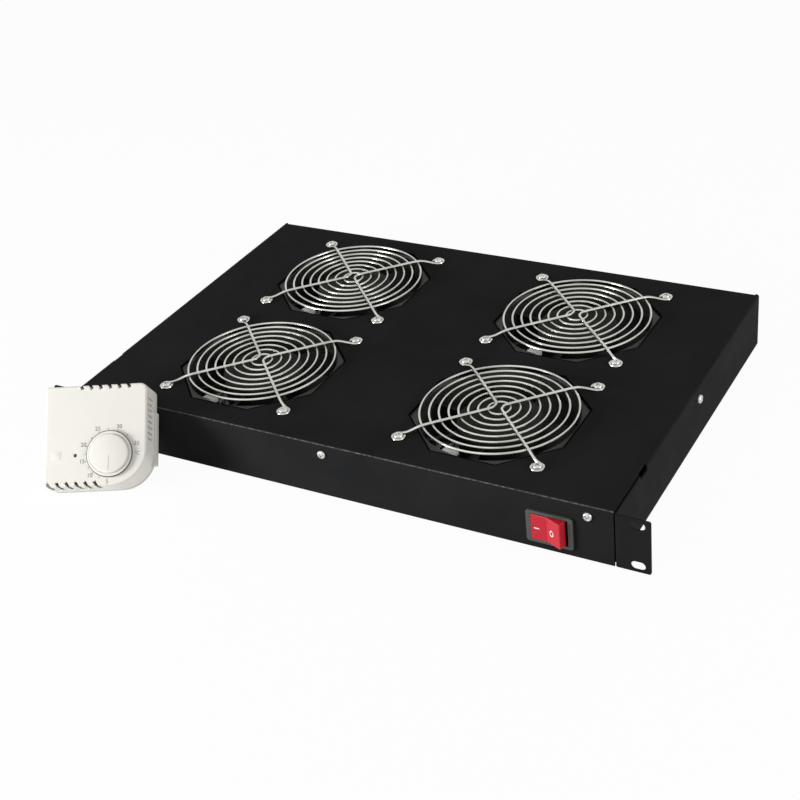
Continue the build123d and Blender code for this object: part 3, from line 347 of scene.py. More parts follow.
def quads(rows, cols, around_rows=False, around_cols=False):
    """Faces between neighbours on a grid of rows by columns, wrapped where a way is closed."""
    i, j = np.meshgrid(np.arange(rows if around_rows else rows - 1),
                       np.arange(cols if around_cols else cols - 1), indexing="ij")
    down, right = (i + 1) % rows, (j + 1) % cols
    faces = np.stack([i * cols + j, i * cols + right, down * cols + right, down * cols + j], -1)
    return faces.reshape(-1, 4)


def fan_of(first, count, hub):
    """Triangles from the ring of count points after first to one hub point."""
    i = np.arange(count)
    return np.stack([first + i, first + (i + 1) % count, np.full(count, hub)], -1)


def placed(part, origin, wide, deep, high):
    """The part with its own three directions laid along wide, deep and high from origin."""
    points, faces = part
    turn = np.stack([np.asarray(wide, float), np.asarray(deep, float), np.asarray(high, float)])
    return points @ turn + np.asarray(origin, float), faces


def moved(part, step):
    """The part moved by one step."""
    return part[0] + step, part[1]


def copies(part, origins, turns):
    """One part repeated: its points times each 3 by 3 turn, plus each origin."""
    points, faces = part
    origins, turns = np.asarray(origins, float), np.asarray(turns, float)
    every = np.einsum("nk,skd->snd", points, turns) + origins[:, None, :]
    steps = np.arange(len(origins)) * len(points)
    counted = [(f[None] + steps[:, None, None]).reshape(-1, f.shape[1]) for f in faces]
    return every.reshape(-1, 3), counted


def together(*parts):
    """Several parts as one, each one's faces counted on from the parts before it."""
    points, faces, start = [], [], 0
    for p, f in parts:
        points.append(p)
        faces += [one + start for one in f]
        start += len(p)
    return np.concatenate(points), faces


def torus(radius, level, across, deep=None, steps=96, around=10):
    """Ring of wire: the circle of radius at level, and round it an ellipse across by deep."""
    u = np.linspace(0, 2 * np.pi, steps, endpoint=False)[:, None]
    v = np.linspace(0, 2 * np.pi, around, endpoint=False)[None, :]
    r = radius + across / 2 * np.cos(v)
    z = level + (across if deep is None else deep) / 2 * np.sin(v) + 0 * u
    points = np.stack([r * np.cos(u), r * np.sin(u), z], -1).reshape(-1, 3)
    return points, [quads(steps, around, True, True)]


def smooth_line(points, per_span):
    """Cubic B-spline through the middle of its control points, end points doubled twice: each
    place is the weighted mean of four neighbours, with the weights of the cubic basis."""
    p = np.asarray(points, float)
    p = np.concatenate([p[:1], p[:1], p, p[-1:], p[-1:]])
    t = np.linspace(0, 1, per_span, endpoint=False)[:, None]
    w = np.stack([
        (1 - t) ** 3,
        3 * t ** 3 - 6 * t ** 2 + 4,
        -3 * t ** 3 + 3 * t ** 2 + 3 * t + 1,
        t ** 3,
    ]) / 6
    spans = [sum(w[i] * p[k + i] for i in range(4)) for k in range(len(p) - 3)]
    return np.concatenate(spans + [p[-1:]])


def round_bar(line, across, deep, around=10):
    """Bar along a line: at each place an ellipse, across the line by deep upwards, square to
    the line's direction, closed by a point at each end."""
    t = np.gradient(line, axis=0)
    t /= np.linalg.norm(t, axis=1, keepdims=True)
    side = np.cross(t, [0.0, 0.0, 1.0])
    side /= np.linalg.norm(side, axis=1, keepdims=True)
    up = np.cross(side, t)
    v = np.linspace(0, 2 * np.pi, around, endpoint=False)
    across, deep = np.broadcast_to(across, len(line)), np.broadcast_to(deep, len(line))
    ring = (line[:, None] + side[:, None] * np.cos(v)[None, :, None] * across[:, None, None] / 2
            + up[:, None] * np.sin(v)[None, :, None] * deep[:, None, None] / 2)
    points = np.concatenate([ring.reshape(-1, 3), line[:1], line[-1:]])
    n = len(line)
    ends = [fan_of(0, around, n * around), fan_of((n - 1) * around, around, n * around + 1)]
    return points, [quads(n, around, False, True)] + ends


def turned(profile, sides=48):
    """Turned piece: the profile's radius and height carried round the vertical axis."""
    profile = np.asarray(profile, float)
    u = np.linspace(0, 2 * np.pi, sides, endpoint=False)[None, :]
    r, z = profile[:, :1], profile[:, 1:]
    points = np.stack([r * np.cos(u), r * np.sin(u), z + 0 * u], -1).reshape(-1, 3)
    return points, [quads(len(profile), sides, False, True)]


def soft_block(size, radius, rings=8):
    """Block with round edges: each direction of a ball, its radius, plus the corner of the
    inner block that the direction points to."""
    half = np.asarray(size, float) / 2
    near, quarter = 1e-3, np.pi / 2
    v = np.concatenate([np.linspace(-quarter, -near, rings), np.linspace(near, quarter, rings)])
    q = np.linspace(near, quarter - near, rings)
    v, u = v[:, None], np.concatenate([q + k * quarter for k in range(4)])[None, :]
    n = np.stack([np.cos(v) * np.cos(u), np.cos(v) * np.sin(u), np.sin(v) + 0 * u], -1)
    corner = np.stack(np.broadcast_arrays(np.sign(np.cos(u)), np.sign(np.sin(u)), np.sign(v)), -1)
    points = (corner * (half - radius) + n * radius).reshape(-1, 3)
    rows, cols = n.shape[:2]
    low, high = len(points), len(points) + 1
    points = np.concatenate([points, [[0, 0, -half[2]], [0, 0, half[2]]]])
    ends = [fan_of(0, cols, low), fan_of((rows - 1) * cols, cols, high)]
    return points, [quads(rows, cols, False, True)] + ends


def flat_plate(outline, low, high):
    """Plate between two levels inside an outline that has a middle, closed by two fans."""
    outline = np.asarray(outline, float)
    n = len(outline)
    rims = np.concatenate([np.c_[outline, np.full(n, low)], np.c_[outline, np.full(n, high)]])
    middle = outline.mean(axis=0)
    points = np.concatenate([rims, [[*middle, low], [*middle, high]]])
    return points, [quads(2, n, False, True), fan_of(0, n, 2 * n), fan_of(n, n, 2 * n + 1)]


def pan_head(radius, height, slot=0.9, reach=2.1, depth=1.25):
    """Pan head with a cross recess. A square grid, bent into a disc towards its rim, carries
    the height of a flat dome, less the recess where the grid is inside the cross."""
    s = slot / 2 / radius
    e = reach / radius
    half = np.array([s * 0.7, s, (s + e) / 2, e, e + 0.07, 0.72, 0.82, 0.9, 0.955, 0.985, 1.0])
    line = np.concatenate([-half[::-1], [0.0], half])
    u, v = np.meshgrid(line, line, indexing="ij")
    m = np.maximum(np.abs(u), np.abs(v))
    q = np.hypot(u, v)
    k = np.clip((m - e) / (0.9 - e), 0, 1)
    k = k * k * (3 - 2 * k)
    factor = (1 - k) + k * m / np.maximum(q, 1e-9)
    x, y = u * factor, v * factor
    r = np.clip(np.hypot(x, y), 0, 1)
    dome = height * (1 - r ** 3.2) ** (1 / 2.6)
    a, b = np.abs(u), np.abs(v)
    inside = ((a < s * 0.9) & (b < e * 0.98)) | ((b < s * 0.9) & (a < e * 0.98))
    z = dome - depth * inside * (1 - 0.35 * np.maximum(a, b) / e)
    points = np.stack([x * radius, y * radius, z], -1).reshape(-1, 3)
    n = len(line)
    edge = np.concatenate([np.arange(n), np.arange(2, n) * n - 1, n * n - 1 - np.arange(n),
                           np.arange(n - 2, 0, -1) * n])
    points = np.concatenate([points, [[0, 0, 0]]])
    under = np.stack([np.roll(edge, -1), edge, np.full(len(edge), n * n)], -1)
    return points, [quads(n, n), under]


def screw(radius, height, shank, length):
    """Pan-head screw, head up: the head, and a shank with thread ridges below it."""
    pitch, ridge, point = 0.7, 0.3, 0.7
    turns = int(length / pitch)
    z = -np.linspace(0.2, length - point, 2 * turns)
    r = np.where(np.arange(2 * turns) % 2, shank / 2, shank / 2 - ridge)
    root = [[0, -0.1], [shank / 2 - 0.1, -0.1]]
    tip = [[shank / 2 - 0.8, -length], [0, -length]]
    return together(pan_head(radius, height), turned(np.concatenate([root, np.c_[r, z], tip]), 12))


def piece(name, part, material, body="chassis", angle=35.0, smooth=True):
    """Puts a part into the scene: its points in metres in the rack frame, doubles merged, faces
    outwards, riding on a body and finished with a material."""
    points, faces = part
    mesh = bpy.data.meshes.new(name)
    rows = [row for block in faces for row in block.tolist()]
    mesh.from_pydata(((points + STEP) / 1000.0).tolist(), [], rows)
    return dress(name, mesh, material, body, angle, smooth=smooth)


def dress(name, mesh, material, body, angle=35.0, bevel=None, smooth=True):
    """Merges a mesh's doubles, turns its faces outwards and makes it a piece of the scene. Edges
    past the angle, in degrees, stay sharp, and a bevel, in millimetres, breaks them."""
    work = bmesh.new()
    work.from_mesh(mesh)
    bmesh.ops.remove_doubles(work, verts=work.verts, dist=1e-6)
    bmesh.ops.recalc_face_normals(work, faces=work.faces)
    work.to_mesh(mesh)
    work.free()
    mesh.validate()
    mesh.materials.clear()
    mesh.materials.append(material)
    mesh.polygons.foreach_set("use_smooth", np.full(len(mesh.polygons), smooth))
    mesh.set_sharp_from_angle(angle=math.radians(angle))
    made = bpy.data.objects.new(name, mesh)
    bpy.context.scene.collection.objects.link(made)
    if bevel:
        edge = made.modifiers.new("soft_edges", "BEVEL")
        edge.width = bevel / 1000.0
        edge.segments = 2
        edge.limit_method = "ANGLE"
        edge.angle_limit = math.radians(32.0)
        edge.harden_normals = True
        edge.use_clamp_overlap = True
        even = made.modifiers.new("even_shading", "WEIGHTED_NORMAL")
        even.keep_sharp = True
    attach(made, body)
    return made


def softened(name, material, bevel, body="chassis"):
    """The node's own shape as one smooth piece with its sharp edges broken by a small bevel."""
    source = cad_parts[name]
    mesh = source.data.copy()
    work = bmesh.new()
    work.from_mesh(mesh)
    bmesh.ops.remove_doubles(work, verts=work.verts, dist=1e-6)
    bmesh.ops.dissolve_limit(work, angle_limit=math.radians(0.5), verts=work.verts,
                             edges=work.edges)
    work.to_mesh(mesh)
    work.free()
    made = dress(name + "_finished", mesh, material, body, bevel=bevel)
    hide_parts(name)


def painted(name, material):
    """A node whose shape is right keeps it and gets its material."""
    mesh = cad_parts[name].data
    mesh.materials.clear()
    mesh.materials.append(material)


# Wire finger guards

LOOP_R = 4.15 * 1.03
FIRST_RING, RING_STEP, RINGS = 8.0, 6.9, 8


def guard_wire(low, rise, across, deep):
    """One bent wire of a guard: from a loop round the front screw, up over the rings to a
    rounded bend beside the middle, and the same way back to the rear screw."""
    diagonal = np.array([1.0, -1.0]) / math.sqrt(2)
    aside = np.array([1.0, 1.0]) / math.sqrt(2)
    loop = np.array([diagonal * (EYELET_R + LOOP_R * np.cos(a)) + aside * LOOP_R * np.sin(a)
                     for a in np.radians(np.arange(-167.5, 126, 22.5))])
    loop = np.c_[loop, np.full(len(loop), low)]
    top = low + rise
    lift = [(EYELET_R - 5.0, 2.0, 0.08), (66.0, 0.9, 0.32), (61.8, 0.2, 0.7), (57.6, 0.0, 0.97),
            (50.0, 0.0, 1.0), (40.0, 0.0, 1.0), (30.0, 0.0, 1.0), (16.0, 0.0, 1.0), (8.5, 0.0, 1.0)]
    climb = [[*(diagonal * r + aside * s), low + f * rise] for r, s, f in lift]
    half = np.concatenate([loop, climb, [[3.6, -3.4, top], [3.0, -1.6, top]]])
    back = half[::-1] * [1.0, -1.0, 1.0]
    line = smooth_line(np.concatenate([half, back]), 5)
    height = np.abs(line[:, 2] - low) / rise if rise else np.zeros(len(line))
    return round_bar(line, across, deep + (across - deep) * np.clip(height, 0, 1))


def finger_guard(name, low, rise, ring_level, ring_wire, leg_wire, middle):
    """Eight welded rings and two bent wires that carry them to four screws."""
    rings = [torus(FIRST_RING + RING_STEP * k, ring_level, ring_wire, steps=48 + 12 * k)
             for k in range(RINGS)]
    right = guard_wire(low, rise, leg_wire, 1.6)
    left = (right[0] * [-1.0, -1.0, 1.0], right[1])
    whole = moved(together(*rings, right, left), [*middle, 0.0])
    made = piece(name + "_wires", whole, BRIGHT_WIRE)
    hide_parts(name)


for fan, middle in FANS.items():
    finger_guard("top_guard_" + fan, TOP + 0.8, 4.3, TOP + 3.4, 1.7, 2.0, middle)
    finger_guard("bottom_guard_" + fan, FAN_LOW - 0.8, 0.0, FAN_LOW - 2.3, 1.7, 1.6, middle)


# Screws

def turn_about(normal, angle):
    """The 3 by 3 turn of one screw: its axis along normal, its recess turned by the angle."""
    normal = np.asarray(normal, float)
    helper = np.array([1.0, 0.0, 0.0]) if abs(normal[0]) < 0.9 else np.array([0.0, 1.0, 0.0])
    a = np.cross(helper, normal)
    a /= np.linalg.norm(a)
    b = np.cross(normal, a)
    x = np.cos(angle) * a + np.sin(angle) * b
    y = -np.sin(angle) * a + np.cos(angle) * b
    return np.stack([x, y, normal])


def screws(name, part, seats, normals):
    """A set of equal screws, one on each seat with its head along the seat's normal."""
    turns = [turn_about(normal, 0.4 + 1.7 * k) for k, normal in enumerate(normals)]
    made = piece(name + "_finished", copies(part, seats, turns), ZINC, angle=30.0)
    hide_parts(name)


CORNERS = [(x + i * HOLE_OFF, y + j * HOLE_OFF)
           for x, y in FANS.values() for i in (-1, 1) for j in (-1, 1)]
EYELET_T = 1.6
HALF_WIDE, DEPTH = 218.0, 298.0
CASE_SCREW_X = (-199.0, 0.0, 199.0)
UPPER_SCREW = screw(3.5, 1.5, 4.0, 12.0)
LOWER_SCREW = screw(3.5, 1.5, 4.0, 6.1)
CASE_SCREW = screw(3.3, 2.2, 3.0, 5.0)
INLET_SCREW = screw(2.8, 2.2, 3.0, 6.7)
for name, part, seats, normals in (
    ("top_guard_screws", UPPER_SCREW, [(*at, TOP + EYELET_T) for at in CORNERS], [(0, 0, 1)] * 16),
    ("bottom_guard_screws", LOWER_SCREW, [(*at, FAN_LOW - EYELET_T) for at in CORNERS],
     [(0, 0, -1)] * 16),
    ("front_screws", CASE_SCREW, [(x, 0.0, 35.4) for x in CASE_SCREW_X], [(0, -1, 0)] * 3),
    ("rear_screws", CASE_SCREW, [(x, DEPTH, 38.3) for x in CASE_SCREW_X], [(0, 1, 0)] * 3),
    ("side_screws", CASE_SCREW, [(s * HALF_WIDE, 159.0, 32.0) for s in (-1, 1)],
     [(-1, 0, 0), (1, 0, 0)]),
    ("inlet_screws", INLET_SCREW, [(x, DEPTH + 1.4, 18.0) for x in (166.0, 206.0)],
     [(0, 1, 0)] * 2),
):
    screws(name, part, seats, normals)


# Sheet metal, fan frames and small fittings, each with the width of its broken edges

softened("housing", BLACK_COAT, 0.22)
softened("bottom_tray", BLACK_COAT, 0.15)
for fan in FANS:
    softened("fan_frame_" + fan, ALLOY, 0.35)
    painted("fan_motor_" + fan, MOTOR)
softened("switch_body", BEZEL, 0.45)
softened("power_inlet", INLET, 0.4)
softened("cable_grommet", RUBBER, 0.4)
softened("terminal_block", BLOCK, 0.5)
softened("thermostat_base", STAT_GREY, 0.4)
softened("thermostat_cover", CREAM, 0.16)
for nodes, material in (
    (("top_guard_nuts", "inlet_nuts", "terminal_block_screws"), ZINC),
    (("switch_terminals", "inlet_pins", "earth_stud"), BRASS),
    (("supply_loom", "switch_loom", "thermostat_lead", "fan_leads"), LEAD),
    (("thermostat_switch",), INLET),
    (("thermostat_terminals",), BLOCK),
):
    for name in nodes:
        painted(name, material)


# Painted shade lines inside the octagons

OCTAGON_IN = 60.15
LINE_WIDE = 1.5


def octagon_line():
    """Painted shade inside an octagon's edge: a black eight-sided ring of oblong section, its top
    just under the sheet's face, where the gap under the sheet is in shade."""
    angle = np.radians(22.5 + 45.0 * np.arange(8))
    way = np.stack([np.cos(angle), np.sin(angle)], -1) / math.cos(math.radians(22.5))
    outer, inner = way * OCTAGON_IN, way * (OCTAGON_IN - LINE_WIDE)
    low, high = TOP - 1.15, TOP - 0.12
    corners = ((outer, low), (inner, low), (inner, high), (outer, high))
    rings = [np.c_[ring, np.full(8, level)] for ring, level in corners]
    return np.concatenate(rings), [quads(4, 8, True, True)]


MIDDLES = [(*middle, 0.0) for middle in FANS.values()]
piece("octagon_lines", copies(octagon_line(), MIDDLES, [np.eye(3)] * 4), SHADE,
      smooth=False)


# Impellers

BLADES = 7
BLADE_LEVEL = 23.7
ROOT_PITCH, TIP_PITCH = 48.0, 32.0
ROOT_CHORD, TIP_CHORD = 30.0, 38.0
BLADE_THICK, BLADE_ARCH = 1.8, 1.9


def fan_blade(root=30.0, tip=56.3, spans=14, around=28):
    """Twisted blade: at each reach an oval section, thin at its ends, arched by its camber,
    turned to the pitch there and wrapped round the fan's axis."""
    s = np.linspace(0, 1, spans)[:, None]
    t = np.linspace(0, 2 * np.pi, around, endpoint=False)[None, :]
    reach = root + (tip - root) * s
    pitch = np.radians(ROOT_PITCH + (TIP_PITCH - ROOT_PITCH) * s)
    chord = ROOT_CHORD + (TIP_CHORD - ROOT_CHORD) * s
    along = 0.5 * np.cos(t)
    thick = BLADE_THICK / 2 * np.sin(t) * (1 - 0.45 * np.cos(t) ** 2)
    arch = BLADE_ARCH * (1 - 4 * along ** 2)
    c, n = along * chord, thick + arch - BLADE_THICK / 2
    y = c * np.cos(pitch) - n * np.sin(pitch)
    z = c * np.sin(pitch) + n * np.cos(pitch)
    turn = y / reach
    points = np.stack([reach * np.cos(turn), reach * np.sin(turn), z], -1).reshape(-1, 3)
    low, high = len(points), len(points) + 1
    ends = points.reshape(spans, around, 3)[[0, -1]].mean(axis=1)
    points = np.concatenate([points, ends])
    closed = [fan_of(0, around, low), fan_of((spans - 1) * around, around, high)]
    return points, [quads(spans, around, False, True)] + closed


def impeller(name, middle, body):
    """Hub cup with a soft shoulder and a shallow step on its face, seven blades and the shaft."""
    hub = [(0, 38.5), (22.0, 38.5), (22.4, 38.9), (23.0, 39.0), (28.6, 39.0), (29.8, 38.7),
           (30.7, 37.9), (31.0, 36.8), (31.0, 8.4), (29.0, 8.4), (29.0, 37.0), (2.5, 37.0),
           (2.5, 8.4), (0, 8.4)]
    angle = 2 * np.pi / BLADES * np.arange(BLADES)
    zero, one = np.zeros(BLADES), np.ones(BLADES)
    turns = np.stack([np.stack([np.cos(angle), np.sin(angle), zero], -1),
                      np.stack([-np.sin(angle), np.cos(angle), zero], -1),
                      np.stack([zero, zero, one], -1)], 1)
    blades = copies(fan_blade(), np.tile([0.0, 0.0, BLADE_LEVEL], (BLADES, 1)), turns)
    whole = moved(together(turned(hub, 72), blades), [*middle, 0.0])
    made = piece(name + "_finished", whole, IMPELLER, body)
    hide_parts(name)


for fan, middle in FANS.items():
    impeller("fan_impeller_" + fan, middle, "rotor_" + fan)


# Plugs on the fans' terminals

def fan_plug():
    """Plug beside the bore: a soft body with a raised back."""
    body = moved(soft_block((6.6, 10.6, 3.2), 0.5), [0, 0, -0.5])
    back = moved(soft_block((3.4, 7.2, 1.0), 0.3), [1.4, 0.0, 1.4])
    return together(body, back)


PLUG_TURN = math.radians(256.0)
PLUG_R, PLUG_LEVEL = 53.7, 40.9
out_way = np.array([math.cos(PLUG_TURN), math.sin(PLUG_TURN), 0.0])
side_way = np.array([-math.sin(PLUG_TURN), math.cos(PLUG_TURN), 0.0])
plug_seats = [np.array([x, y, PLUG_LEVEL]) + PLUG_R * out_way for x, y in FANS.values()]
plug_turns = [np.stack([out_way, side_way, [0, 0, 1.0]])] * 4
plugs = piece("fan_plugs_finished", copies(fan_plug(), plug_seats, plug_turns), NYLON,
              angle=30.0)
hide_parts("fan_plugs")


# Rocker

ROCKER_AT = np.array([172.4, 3.0, 18.5])
ROCKER_HALF, ROCKER_DISH, ROCKER_OUT = 11.5, 2.2, 5.8
TIP = math.radians(-12.0)
ROCK_WIDE = np.array([math.cos(TIP), math.sin(TIP), 0.0])
ROCK_DEEP = np.array([-math.sin(TIP), math.cos(TIP), 0.0])
softened("switch_rocker", RED, 0.7, body="rocker")


def on_rocker(along, drop):
    """Point on the rocker's dished face, and the face's directions there."""
    side = 1.0 if along > 0 else -1.0
    rise = -ROCKER_DISH / ROCKER_HALF * side
    depth = -ROCKER_OUT - ROCKER_DISH * abs(along) / ROCKER_HALF
    at = ROCKER_AT + ROCK_WIDE * along + ROCK_DEEP * depth + np.array([0, 0, drop])
    wide = ROCK_WIDE + ROCK_DEEP * rise
    wide /= np.linalg.norm(wide)
    return at, wide, np.array([0.0, 0.0, 1.0]), np.cross(wide, [0.0, 0.0, 1.0])


bar = flat_plate([(-1.85, -0.45), (1.85, -0.45), (1.85, 0.45), (-1.85, 0.45)], -0.3, 0.06)
round_mark = torus(1.75, 0.0, 0.75, 0.12, steps=40, around=8)
round_mark = (round_mark[0] * [0.8, 1.15, 1.0], round_mark[1])
marks = together(placed(bar, *on_rocker(-7.4, -0.6)), placed(round_mark, *on_rocker(4.0, -0.9)))
piece("rocker_marks", marks, PRINT_WHITE, "rocker", smooth=False)


# Thermostat dial and its scale

def on_face(x, z, out=0.0):
    """Point on the thermostat's front, out millimetres in front of it."""
    return STAT_FOOT + STAT_WIDE * x + STAT_HIGH * z + STAT_DEEP * (STAT_FACE - out)


def stand(part, x, z):
    """A part drawn flat, laid on the thermostat's front with its own height pointing out."""
    return placed(part, on_face(x, z), STAT_WIDE, STAT_HIGH, -STAT_DEEP)


knob = [(0, 3.2), (13.2, 3.2), (13.8, 3.05), (14.2, 2.65), (14.3, 1.2), (14.75, 1.2), (14.8, 1.8),
        (16.4, 1.8), (16.8, 1.65), (17.1, 1.25), (17.1, 0.3), (16.8, 0.3), (3.0, 0.3),
        (3.0, -10.5), (0, -10.5)]
dial = piece("thermostat_dial_finished", stand(turned(knob, 96), *DIAL), CREAM, "dial")
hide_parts("thermostat_dial")
pointer = flat_plate([(-0.42, -12.4), (0.42, -12.4), (0.42, -1.0), (-0.42, -1.0)], 3.0, 3.23)
piece("dial_pointer", stand(pointer, *DIAL), STAT_GREY, "dial", smooth=False)

lens = [(0, 0.28), (0.7, 0.24), (1.1, 0.1), (1.3, -0.15), (1.3, -2.0), (2.6, -2.0), (2.6, -3.2),
        (0, -3.2)]
lamp = piece("thermostat_lens_finished", stand(turned(lens, 28), LENS_X, DIAL[1]), LENS)
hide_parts("thermostat_lens")


def printed(name, text, x, z, size, material):
    """Characters as thin print on the thermostat's front, centred on a place."""
    curve = bpy.data.curves.new(name, "FONT")
    curve.body = text
    curve.size = size / 1000.0
    curve.align_x = "CENTER"
    curve.align_y = "CENTER"
    curve.extrude = 0.00002
    carrier = bpy.data.objects.new(name + "_outline", curve)
    bpy.context.scene.collection.objects.link(carrier)
    bpy.context.view_layer.update()
    graph = bpy.context.evaluated_depsgraph_get()
    mesh = bpy.data.meshes.new_from_object(carrier.evaluated_get(graph))
    bpy.data.objects.remove(carrier)
    bpy.data.curves.remove(curve)
    origin = (on_face(x, z, 0.03) + STEP) / 1000.0
    place = Matrix(np.stack([STAT_WIDE, STAT_HIGH, -STAT_DEEP]).T.tolist()).to_4x4()
    place.translation = origin.tolist()
    mesh.transform(place)
    mesh.name = name
    dress(name, mesh, material, "chassis", smooth=False)


# Each number's angle on the dial, its distance from the middle and its ink
SCALE = ((5, 265, 20.0, PRINT_RED), (10, 226, 20.9, PRINT), (15, 193, 20.9, PRINT),
         (20, 159, 20.9, PRINT), (25, 116, 20.9, PRINT), (30, 71, 20.9, PRINT),
         (35, 19, 20.9, PRINT))
TICK_ANGLES = (246, 227, 211, 195, 178, 160, 138, 116, 94, 72, 46, 21)
TICK_FROM, TICK_TO, TICK_HALF = 17.7, 18.9, 0.16
for value, angle, far, ink in SCALE:
    a = math.radians(angle)
    printed("scale_" + str(value), str(value), DIAL[0] + far * math.cos(a),
            DIAL[1] + far * math.sin(a), 4.2, ink)
printed("scale_unit", "°C", DIAL[0] + 20.2, DIAL[1] - 0.4, 3.6, PRINT)
# A dark ring laid over the dial's outer shoulder is painted shade, in place of the shaded gap round
# the dial
rim = turned([(16.45, 1.75), (16.45, 1.83), (16.86, 1.7), (17.14, 1.28), (17.14, 0.8), (17.0, 0.8),
              (16.45, 1.75)], 96)
piece("dial_rim_painted_shade", stand(rim, *DIAL), PRINT, "dial")
tick = flat_plate([(TICK_FROM, -TICK_HALF), (TICK_TO, -TICK_HALF), (TICK_TO, TICK_HALF),
                   (TICK_FROM, TICK_HALF)], -0.02, 0.05)
ticks = []
for degrees in TICK_ANGLES:
    a = math.radians(degrees)
    wide = STAT_WIDE * math.cos(a) + STAT_HIGH * math.sin(a)
    high = -STAT_WIDE * math.sin(a) + STAT_HIGH * math.cos(a)
    ticks.append(placed(tick, on_face(*DIAL), wide, high, -STAT_DEEP))
piece("scale_ticks", together(*ticks), PRINT, smooth=False)
liner = moved(soft_block((1.0, 10.0, 36.0), 0.3, 3), [35.2, STAT_FACE + 9.3, 48.6])
piece("louvre_backing", placed(liner, STAT_FOOT, STAT_WIDE, STAT_DEEP, STAT_HIGH), CREAM)
bare = stand(moved(soft_block((7.4, 6.0, 0.3), 0.12, 4), [0, 0, -0.03]), -29.0, DIAL[1] + 0.4)
piece("bare_panel", bare, CREAM)


# Floor, light and camera

FLOOR_LEVEL = -0.02085
FLOOR_OWN_WHITE = 0.955
WORLD_LIGHT = 0.33
BODY_MIDDLE_Y, BODY_HALF_WIDE, BODY_HALF_DEEP = 0.1478, 0.214, 0.145


def studio_floor():
    """Pale floor: nearly white of itself to the eye and in reflections, apart from the part under
    the tray, and plain diffuse to the light, with the shadow of the tray kept."""
    made = bpy.data.materials.new("pale_floor")
    made.use_nodes = True
    tree = made.node_tree
    tree.nodes.clear()
    out = node(tree, "ShaderNodeOutputMaterial")
    matt = node(tree, "ShaderNodeBsdfDiffuse")
    matt.inputs["Color"].default_value = (0.93, 0.93, 0.93, 1)
    white = node(tree, "ShaderNodeEmission")
    white.inputs["Color"].default_value = (1.0, 1.0, 1.0, 1)
    white.inputs["Strength"].default_value = 1.0
    mix = node(tree, "ShaderNodeMixShader")
    part = node(tree, "ShaderNodeMath", operation="MULTIPLY")
    part.inputs[1].default_value = FLOOR_OWN_WHITE
    lit = node(tree, "ShaderNodeMath", operation="MULTIPLY")
    tree.links.new(seen(tree), lit.inputs[0])
    tree.links.new(beside_tray(tree), lit.inputs[1])
    tree.links.new(lit.outputs[0], part.inputs[0])
    tree.links.new(part.outputs[0], mix.inputs[0])
    tree.links.new(matt.outputs[0], mix.inputs[1])
    tree.links.new(white.outputs[0], mix.inputs[2])
    tree.links.new(mix.outputs[0], out.inputs[0])
    return made


def beside_tray(tree):
    """0 on the floor under the tray's body, which only shows through the fans, and 1 where the
    distance from the body's middle is past its half width or its half depth."""
    place = node(tree, "ShaderNodeTexCoord")
    centred = node(tree, "ShaderNodeVectorMath", operation="SUBTRACT")
    centred.inputs[1].default_value = (0.0, BODY_MIDDLE_Y, 0.0)
    size = node(tree, "ShaderNodeVectorMath", operation="ABSOLUTE")
    split = node(tree, "ShaderNodeSeparateXYZ")
    wide = node(tree, "ShaderNodeMath", operation="GREATER_THAN")
    wide.inputs[1].default_value = BODY_HALF_WIDE
    long = node(tree, "ShaderNodeMath", operation="GREATER_THAN")
    long.inputs[1].default_value = BODY_HALF_DEEP
    either = node(tree, "ShaderNodeMath", operation="MAXIMUM")
    tree.links.new(place.outputs["Object"], centred.inputs[0])
    tree.links.new(centred.outputs[0], size.inputs[0])
    tree.links.new(size.outputs[0], split.inputs[0])
    tree.links.new(split.outputs["X"], wide.inputs[0])
    tree.links.new(split.outputs["Y"], long.inputs[0])
    tree.links.new(wide.outputs[0], either.inputs[0])
    tree.links.new(long.outputs[0], either.inputs[1])
    return either.outputs[0]


def seen(tree):
    """1 for rays of the eye, of gloss and through glass, 0 for the light's own."""
    path = node(tree, "ShaderNodeLightPath")
    first = node(tree, "ShaderNodeMath", operation="MAXIMUM")
    second = node(tree, "ShaderNodeMath", operation="MAXIMUM")
    tree.links.new(path.outputs["Is Camera Ray"], first.inputs[0])
    tree.links.new(path.outputs["Is Glossy Ray"], first.inputs[1])
    tree.links.new(first.outputs[0], second.inputs[0])
    tree.links.new(path.outputs["Is Transmission Ray"], second.inputs[1])
    return second.outputs[0]


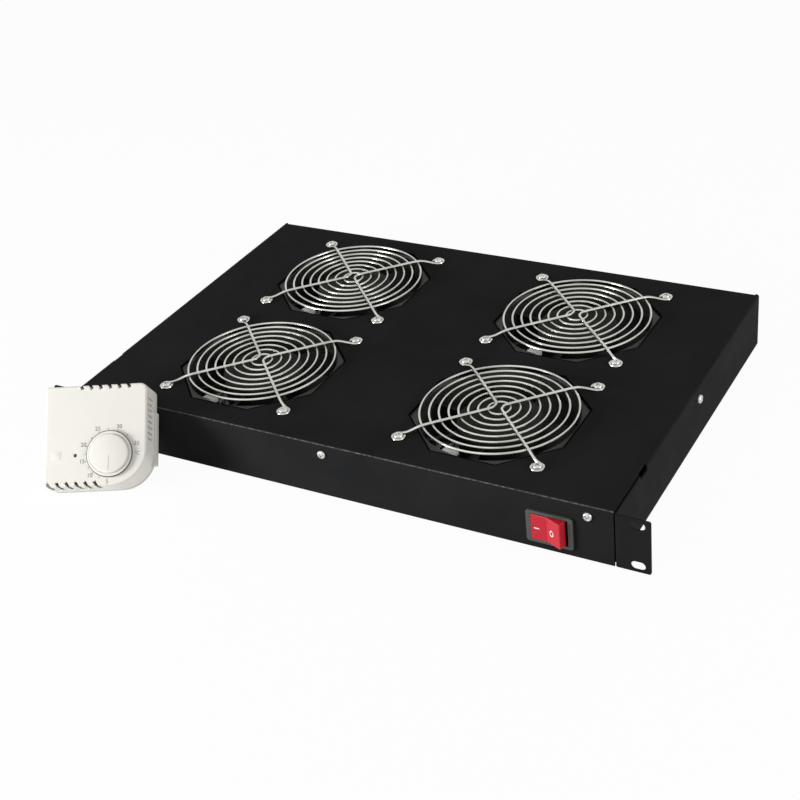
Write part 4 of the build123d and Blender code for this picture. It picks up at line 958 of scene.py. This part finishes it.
def studio_world():
    """White for the eye and reflections, soft grey for the light."""
    world = bpy.data.worlds.new("studio")
    bpy.context.scene.world = world
    world.use_nodes = True
    tree = world.node_tree
    tree.nodes.clear()
    out = node(tree, "ShaderNodeOutputWorld")
    fill = node(tree, "ShaderNodeBackground")
    fill.inputs["Color"].default_value = (0.97, 0.985, 1.0, 1)
    fill.inputs["Strength"].default_value = WORLD_LIGHT
    white = node(tree, "ShaderNodeBackground")
    white.inputs["Color"].default_value = (1.0, 1.0, 1.0, 1)
    mix = node(tree, "ShaderNodeMixShader")
    tree.links.new(seen(tree), mix.inputs[0])
    tree.links.new(fill.outputs[0], mix.inputs[1])
    tree.links.new(white.outputs[0], mix.inputs[2])
    tree.links.new(mix.outputs[0], out.inputs[0])


def aimed(place, target):
    """Turn that points an object's own -Z from a place at a target, level with the horizon."""
    way = np.asarray(target, float) - np.asarray(place, float)
    back = -way / np.linalg.norm(way)
    right = np.cross([0.0, 0.0, 1.0], back)
    right /= np.linalg.norm(right)
    up = np.cross(back, right)
    turn = Matrix([[right[k], up[k], back[k]] for k in range(3)]).to_4x4()
    turn.translation = tuple(place)
    return turn


def soft_lamp(name, place, target, size, watts):
    """Square soft box that shines on a target."""
    light = bpy.data.lights.new(name, "AREA")
    light.shape = "SQUARE"
    light.size = size
    light.energy = watts
    made = bpy.data.objects.new(name, light)
    bpy.context.scene.collection.objects.link(made)
    made.matrix_world = aimed(place, target)


ground = bpy.data.meshes.new("floor")
ground.from_pydata([(x, y, FLOOR_LEVEL) for x, y in ((-6, -6), (6, -6), (6, 8), (-6, 8))], [],
                   [(0, 1, 2, 3)])
ground.materials.append(studio_floor())
floor = bpy.data.objects.new("floor", ground)
bpy.context.scene.collection.objects.link(floor)
studio_world()
# The low key light at the front left gives the front panel its falling tone
soft_lamp("key", (-0.85, -0.75, 0.2), (-0.05, 0.0, 0.0), 0.4, 14.5)
soft_lamp("above", (-0.5, -0.6, 1.6), (0.0, 0.1, 0.0), 1.2, 2.5)
soft_lamp("side", (1.2, 0.0, 0.45), (-0.1, 0.0, 0.0), 0.5, 6.0)

camera = bpy.data.objects.new("camera", bpy.data.cameras.new("camera"))
camera.data.lens = 66.4155
camera.data.sensor_width = 36.0
camera.data.clip_start = 0.05
camera.data.clip_end = 40.0
# The camera's own directions and place, from the fit to the photograph
right, up, back = (0.8733, 0.4768, -0.1003), (-0.1816, 0.5096, 0.8410), (0.4521, -0.7162, 0.5317)
place = Matrix([[right[k], up[k], back[k]] for k in range(3)]).to_4x4()
place.translation = (0.5055, -0.6922, 0.58745)
camera.matrix_world = place
bpy.context.scene.collection.objects.link(camera)
bpy.context.scene.camera = camera
bpy.context.scene.view_settings.view_transform = "Standard"
